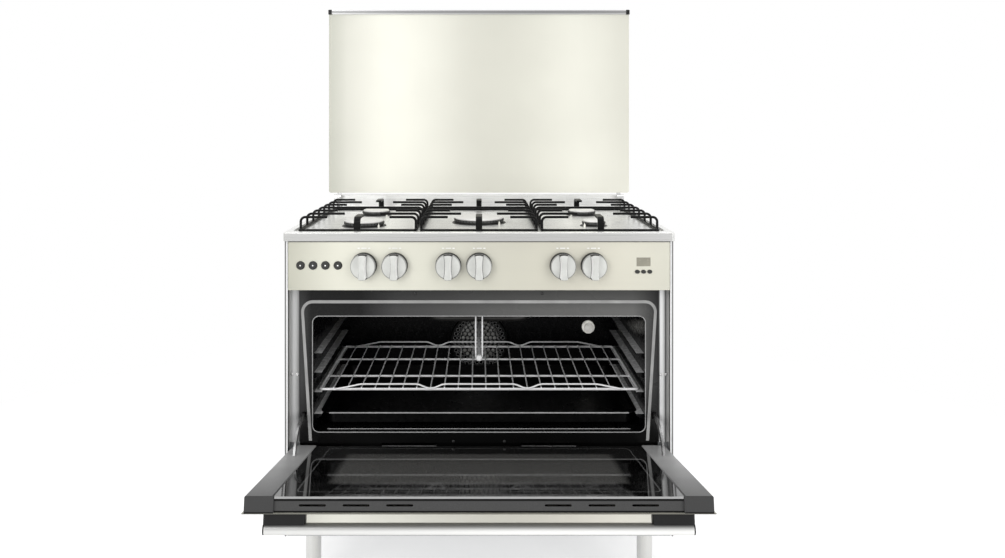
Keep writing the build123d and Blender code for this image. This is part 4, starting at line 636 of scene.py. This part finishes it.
def printed_border_and_highlight(paint, tone):
    """The inner glass's printed line with the paler field inside it, and the painted highlight on its edge.
    """
    low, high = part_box("door_inner_glass")
    head, foot = low.y + LINE_HEAD, high.y - LINE_FOOT
    side = paint.math("SUBTRACT", paint.beside(), high.x - LINE_SIDE)
    run = paint.math("ABSOLUTE", paint.math("SUBTRACT", paint.along("Y"), (head + foot) / 2))
    past = paint.math("SMOOTH_MAX", side, paint.math("SUBTRACT", run, (foot - head) / 2), LINE_CORNER)
    tone = paint.mix(paint.span(past, 1.0, 0.0, *FIELD_EDGE), tone, FIELD_TONE)
    near = paint.math("LESS_THAN", paint.math("ABSOLUTE", past), LINE_HALF)
    tone = paint.mix(near, tone, LINE_INK)
    return paint.mix(paint.facing(HEAD_WAY), tone, GLASS_EDGE_HIGHLIGHT)


def dark_glass(name, colour, decorate=None):
    """Tinted glass backed in black and slightly smeared."""
    paint = Paint(name, IOR=1.5, Coat_Weight=0.25, Coat_Roughness=0.02)
    smear = paint.noise(7.0, (3, 1, 1), detail=4.0)
    tone = paint.cloud(smear, shade(colour, 0.7), shade(colour, 1.5), (0.35, 0.7))
    if decorate:
        tone = decorate(paint, tone)
    paint.join(tone, paint.shader.inputs["Base Color"])
    paint.join(paint.vary(smear, 0.03, 0.09), paint.shader.inputs["Roughness"])
    return paint.material


dress(rail_material(), "door_side_rails")
dress(cross_material(), "door_cross_rails")
dress(dark_glass("inner_glass", even(0.004), printed_border_and_highlight), "door_inner_glass")
dress(dark_glass("outer_glass", (0.008, 0.008, 0.009)), "door_outer_glass")
dress(plastic("black_plastic", grey(9), 0.45, gloss=0.25), "door_handle_brackets", "lid_trim_caps")

# Knobs, in shares of a knob's box
GRIP_HALF = (0.117, 0.315)  # half the grip's width at its waist, and a whole box above or below it
GRIP_SHADE_LINE = 0.011  # half the width of the painted shade line beside the grip
SKIRT_SHARE = 0.13  # place of the skirt's face behind the grip
FLANK_SHARE = (0.42, 0.45)  # from pale flanks with painted light to dark ones with painted shade, measured from the middle


def knob_material():
    """Metallised plastic with painted light on the grip's flanks, painted shade on the outer flanks, and a
    thin painted shade line on each side of the grip.
    """
    paint = Paint("knob_metallised")
    grain = paint.noise(1500.0)
    tone = paint.cloud(paint.noise(40.0), linear(194, 195, 191), linear(208, 209, 205))
    box = paint.split(paint.coords("Generated"))
    across = paint.span(box["X"], -0.5, 0.5)
    rise = paint.span(box["Z"], -0.5, 0.5)
    flat = paint.add("CombineXYZ")
    paint.join(across, flat.inputs["X"])
    paint.join(rise, flat.inputs["Y"])
    out = paint.length(flat.outputs["Vector"])
    flank_light_and_shade = paint.cloud(out, linear(246, 246, 244), grey(9), FLANK_SHARE)
    half = paint.span(paint.math("POWER", paint.math("ABSOLUTE", rise), 2.0), *GRIP_HALF)
    beside = paint.math("SUBTRACT", paint.math("SUBTRACT", paint.math("ABSOLUTE", across), half), GRIP_SHADE_LINE)
    line = paint.math("LESS_THAN", paint.math("ABSOLUTE", beside), GRIP_SHADE_LINE)
    line = paint.math("MULTIPLY", line, paint.math("GREATER_THAN", box["Y"], SKIRT_SHARE))
    front = paint.facing(FRONT_WAY, 0.35, 0.75)
    paint.join(paint.span(front, 0.0, 0.35), paint.shader.inputs["Metallic"])
    tone = paint.mix(front, flank_light_and_shade, paint.mix(line, tone, grey(112)))
    rough = paint.mix(front, even(0.7), paint.cloud(grain, even(0.28), even(0.4)))
    return paint.finish(tone, rough, grain, 0.05, 0.0001)


# Controls: knobs, black buttons and the clock's window
KNOB_NUMBERS = range(1, 7)
PUSH_NUMBERS = range(1, 5)
TIMER_NUMBERS = range(1, 4)
dress(knob_material(), *[f"knob_{number}" for number in KNOB_NUMBERS])
buttons = [f"push_button_{number}" for number in PUSH_NUMBERS]
buttons += [f"timer_button_{number}" for number in TIMER_NUMBERS]
dress(plastic("button_black", linear(34, 34, 32), 0.3), *buttons)
dress(plastic("display_window", linear(136, 133, 120), 0.2, grain=300.0, bump=0.02), "timer_and_switches")


def new_piece(name, mesh_builder, material, body):
    """A mesh piece that rides on a body."""
    work = bmesh.new()
    mesh_builder(work)
    mesh = bpy.data.meshes.new(name)
    work.to_mesh(mesh)
    work.free()
    piece = bpy.data.objects.new(name, mesh)
    bpy.context.collection.objects.link(piece)
    mesh.materials.append(material)
    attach(piece, body)


def skin(work, rings, closed=False):
    """Faces between rings of as many corners each, with both ends capped unless the rings close up."""
    pairs = list(zip(rings, rings[1:])) + ([(rings[-1], rings[0])] if closed else [])
    for lower, upper in pairs:
        for step in range(len(lower)):
            after = (step + 1) % len(lower)
            work.faces.new((lower[step], lower[after], upper[after], upper[step]))
    if not closed:
        work.faces.new(list(reversed(rings[0])))
        work.faces.new(rings[-1])


def turned_ring(work, at, axis, profile, sides=20):
    """A solid turned about an axis through a point, from (radius, height) steps, both ends closed."""
    turn = Vector(UP_WAY).rotation_difference(Vector(axis)).to_matrix().to_4x4()
    place = Matrix.Translation(Vector(at)) @ turn
    rings = []
    for radius, height in profile:
        ring = []
        for step in range(sides):
            angle = 2 * math.pi * step / sides
            corner = Vector((radius * math.cos(angle), radius * math.sin(angle), height))
            ring.append(work.verts.new(place @ corner))
        rings.append(ring)
    skin(work, rings)


def tube(work, points, radius, closed, sides=10):
    """A round bead along points that lie in one plane facing front or level."""
    count = len(points)
    rings = []
    for i, point in enumerate(points):
        before = points[i - 1] if closed or i else point
        after = points[(i + 1) % count] if closed or i < count - 1 else point
        way = (Vector(after) - Vector(before)).normalized()
        across = way.cross(Vector(FRONT_WAY)).normalized()
        ring = []
        for step in range(sides):
            angle = 2 * math.pi * step / sides
            offset = across * math.cos(angle) * radius + Vector(FRONT_WAY) * math.sin(angle) * radius
            ring.append(work.verts.new(Vector(point) + offset))
        rings.append(ring)
    skin(work, rings, closed)


def solid_box(work, low, high):
    """A block between two corners."""
    middle = (Vector(low) + Vector(high)) / 2
    size = Vector(high) - Vector(low)
    bmesh.ops.create_cube(work, size=1.0, matrix=Matrix.Translation(middle) @ Matrix.Diagonal((*size, 1.0)))


def rounded_loop(x, y, z, corner, steps=8):
    """Points round a rectangle that faces front, with its corners rounded."""
    centres = ((x[1] - corner, z[1] - corner), (x[0] + corner, z[1] - corner))
    centres += ((x[0] + corner, z[0] + corner), (x[1] - corner, z[0] + corner))
    points = []
    for quarter, (middle_x, middle_z) in enumerate(centres):
        for step in range(steps + 1):
            angle = math.pi / 2 * (quarter + step / steps)
            points.append((middle_x + corner * math.cos(angle), y, middle_z + corner * math.sin(angle)))
    return points


# Painted highlights: light beads along the oven's mouth, the fold behind its sill, the lips of the stay
# arms' slots and the tray's rim
MOUTH_HALF = 0.3915
MOUTH_Z = (0.374, 0.647)
MOUTH_CORNER = 0.016
BEAD = 0.0011
SLOT_X = 0.164
SLOT_REACH = 0.064
SLOT_LIP = 0.3408
FOLD_BEHIND = 0.02
FOLD_HALF = 0.36
TRAY_LIP = 0.0016
TRAY_BEAD_INSET = 0.022
# light grey enamel for the beads that paint these highlights
edge_highlight_enamel = enamel("edge_highlight_enamel", grey(158), grey(110), 0.3, flecks=300.0)


def mouth_bead(work):
    loop = rounded_loop((-MOUTH_HALF, MOUTH_HALF), FRAME_LOW.y, MOUTH_Z, MOUTH_CORNER)
    tube(work, loop, BEAD, True)
    fold = FRAME_LOW.y + FOLD_BEHIND
    tube(work, [(x, fold, MOUTH_Z[0]) for x in (-FOLD_HALF, FOLD_HALF)], BEAD, False)
    for side in (-1, 1):
        ends = [side * SLOT_X - SLOT_REACH, side * SLOT_X + SLOT_REACH]
        tube(work, [(x, FRAME_LOW.y, SLOT_LIP) for x in ends], BEAD, False)


def tray_bead(work):
    low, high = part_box("oven_tray")
    level = high.z - TRAY_LIP
    ends = (low.x + TRAY_BEAD_INSET, high.x - TRAY_BEAD_INSET)
    tube(work, [(x, low.y, level) for x in ends], TRAY_LIP, False)


new_piece("mouth_bead", mouth_bead, edge_highlight_enamel, "cooker")
new_piece("tray_bead", tray_bead, edge_highlight_enamel, "tray")

# Screws: a pair in each upright, one on each side of the frame's head and two pairs in its foot
SCREW_RADIUS = 0.0036
SCREW_RISE = 0.0018
SCREW_ROOT = -0.0002
SCREW_CROWN = ((1.0, 0.4), (0.82, 0.85), (0.5, 1.0), (0.34, 0.98), (0.24, 0.5))  # of radius and rise
COLUMN_SCREW_PROUD = 0.0004  # how far a screw stands out past its upright
COLUMN_SCREW_LEVEL = 0.51
COLUMN_SCREW_OFFSETS = (-0.006, 0.006)
HEAD_SCREW_PLACES = (-0.150, 0.149)
HEAD_SCREW_LEVEL = 0.7
FOOT_SCREW_PLACES = (-0.06, 0.06)
FOOT_SCREW_LEVELS = (0.352, 0.335)
screw_steel = plated("screw_steel", even(0.9), 0.2)
screw_dark = plated("screw_black", even(0.06), 0.35)


def screw_head(work, at):
    """A pan-head screw that faces front, with a dish in its crown."""
    crown = [(SCREW_RADIUS * radius, SCREW_RISE * height) for radius, height in SCREW_CROWN]
    turned_ring(work, at, FRONT_WAY, [(SCREW_RADIUS, SCREW_ROOT), *crown])


def column_screws(work):
    seat = COLUMN_LOW.y + SCREW_RISE - COLUMN_SCREW_PROUD
    middle = (COLUMN_HIGH.x + FRAME_HIGH.x) / 2
    for side in (-1, 1):
        for offset in COLUMN_SCREW_OFFSETS:
            screw_head(work, (side * middle + offset, seat, COLUMN_SCREW_LEVEL))


def frame_screws(work):
    for x in HEAD_SCREW_PLACES:
        screw_head(work, (x, FRAME_LOW.y, HEAD_SCREW_LEVEL))
    for x in FOOT_SCREW_PLACES:
        for z in FOOT_SCREW_LEVELS:
            screw_head(work, (x, FRAME_LOW.y, z))


new_piece("column_screws", column_screws, screw_steel, "cooker")
new_piece("frame_screws", frame_screws, screw_dark, "cooker")

# Printed marks: three strokes over each knob and a light dot in each push button
STROKES = ((-0.012, 0.005), (0.0, 0.012), (0.012, 0.005))  # place beside the knob's middle, and width
STROKE_GAP = 0.0085
STROKE_HEIGHT = 0.002
INK_RISE = 0.0002
DOT_STEPS = ((0.0017, 0.0), (0.0017, 0.0002), (0.0006, 0.0003))  # radius and height
DOT_SINK = 0.0001
PANEL_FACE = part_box("control_panel")[0].y
ink = plastic("printed_ink", linear(246, 246, 242), 0.5, grain=900.0, bump=0.02)


def knob_marks(work):
    for number in KNOB_NUMBERS:
        low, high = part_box(f"knob_{number}")
        middle = (low.x + high.x) / 2
        foot = high.z + STROKE_GAP
        for x, width in STROKES:
            solid_box(
                work,
                (middle + x - width / 2, PANEL_FACE - INK_RISE, foot),
                (middle + x + width / 2, PANEL_FACE + INK_RISE, foot + STROKE_HEIGHT),
            )


def button_mark(number):
    low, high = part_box(f"push_button_{number}")
    middle = ((low.x + high.x) / 2, low.y + DOT_SINK, (low.z + high.z) / 2)

    def build(work):
        turned_ring(work, middle, FRONT_WAY, DOT_STEPS)

    return build


new_piece("knob_marks", knob_marks, ink, "cooker")
for number in PUSH_NUMBERS:
    new_piece(f"button_mark_{number}", button_mark(number), ink, f"push_button_{number}")


def camera_seen(tree):
    """1 for rays that show a surface to the camera, straight or by way of gloss or glass, and else 0."""
    path = tree.nodes.new("ShaderNodeLightPath")
    total = path.outputs["Is Camera Ray"]
    for kind in ("Is Glossy Ray", "Is Transmission Ray"):
        either = tree.nodes.new("ShaderNodeMath")
        either.operation = "MAXIMUM"
        tree.links.new(total, either.inputs[0])
        tree.links.new(path.outputs[kind], either.inputs[1])
        total = either.outputs[0]
    return total


def floor_material():
    """Pale matt floor that fades to white away from the cooker."""
    paint = Paint("studio_floor", Roughness=0.7)
    grain = paint.noise(30.0, detail=3.0)
    paint.join(paint.cloud(grain, even(0.83), even(0.86)), paint.shader.inputs["Base Color"])
    paint.shader.inputs["Emission Color"].default_value = (1, 1, 1, 1)
    lift = paint.span(camera_seen(paint.tree), 0.0, FLOOR_LIFT)
    paint.join(lift, paint.shader.inputs["Emission Strength"])
    blend = paint.add("MixShader")
    paint.join(paint.span(paint.length(paint.coords()), 0.0, 1.0, *FLOOR_FADE), blend.inputs[0])
    paint.join(paint.shader.outputs[0], blend.inputs[1])
    paint.join(paint.add("Emission").outputs[0], blend.inputs[2])
    paint.join(blend.outputs[0], paint.tree.nodes["Material Output"].inputs["Surface"])
    return paint.material


# Floor, soft studio lamps, the world and the camera
half = FLOOR_SIZE / 2
floor_mesh = bpy.data.meshes.new("floor")
floor_mesh.from_pydata(
    [(-half, -half, 0), (half, -half, 0), (half, half, 0), (-half, half, 0)], [], [(0, 1, 2, 3)]
)
floor_mesh.materials.append(floor_material())
floor = bpy.data.objects.new("floor", floor_mesh)
floor.location.z = -FLOOR_DROP
bpy.context.collection.objects.link(floor)

for name, (at, target, size, watts) in LAMPS.items():
    lamp_data = bpy.data.lights.new(name, "AREA")
    lamp_data.shape = "RECTANGLE"
    lamp_data.size, lamp_data.size_y = size
    lamp_data.energy = watts
    lamp = bpy.data.objects.new(name, lamp_data)
    lamp.location = at
    lamp.rotation_mode = "QUATERNION"
    lamp.rotation_quaternion = (Vector(target) - Vector(at)).to_track_quat("-Z", "Y")
    bpy.context.collection.objects.link(lamp)

world = bpy.data.worlds.new("studio")
bpy.context.scene.world = world
world.use_nodes = True
sky = world.node_tree
back = sky.nodes["Background"]
back.inputs["Color"].default_value = (1, 1, 1, 1)
level = sky.nodes.new("ShaderNodeMapRange")
level.inputs["To Min"].default_value = WORLD_STRENGTH
level.inputs["To Max"].default_value = 1.0
sky.links.new(camera_seen(sky), level.inputs["Value"])
sky.links.new(level.outputs["Result"], back.inputs["Strength"])

camera_data = bpy.data.cameras.new("camera")
camera_data.lens = LENS
camera_data.shift_x = SHIFT_X
camera_data.shift_y = SHIFT_Y
camera = bpy.data.objects.new("camera", camera_data)
camera.location = (0, CAMERA_Y, CAMERA_Z)
camera.rotation_euler = (math.radians(90), 0, 0)
bpy.context.collection.objects.link(camera)
bpy.context.scene.camera = camera
bpy.context.scene.view_settings.view_transform = "Standard"
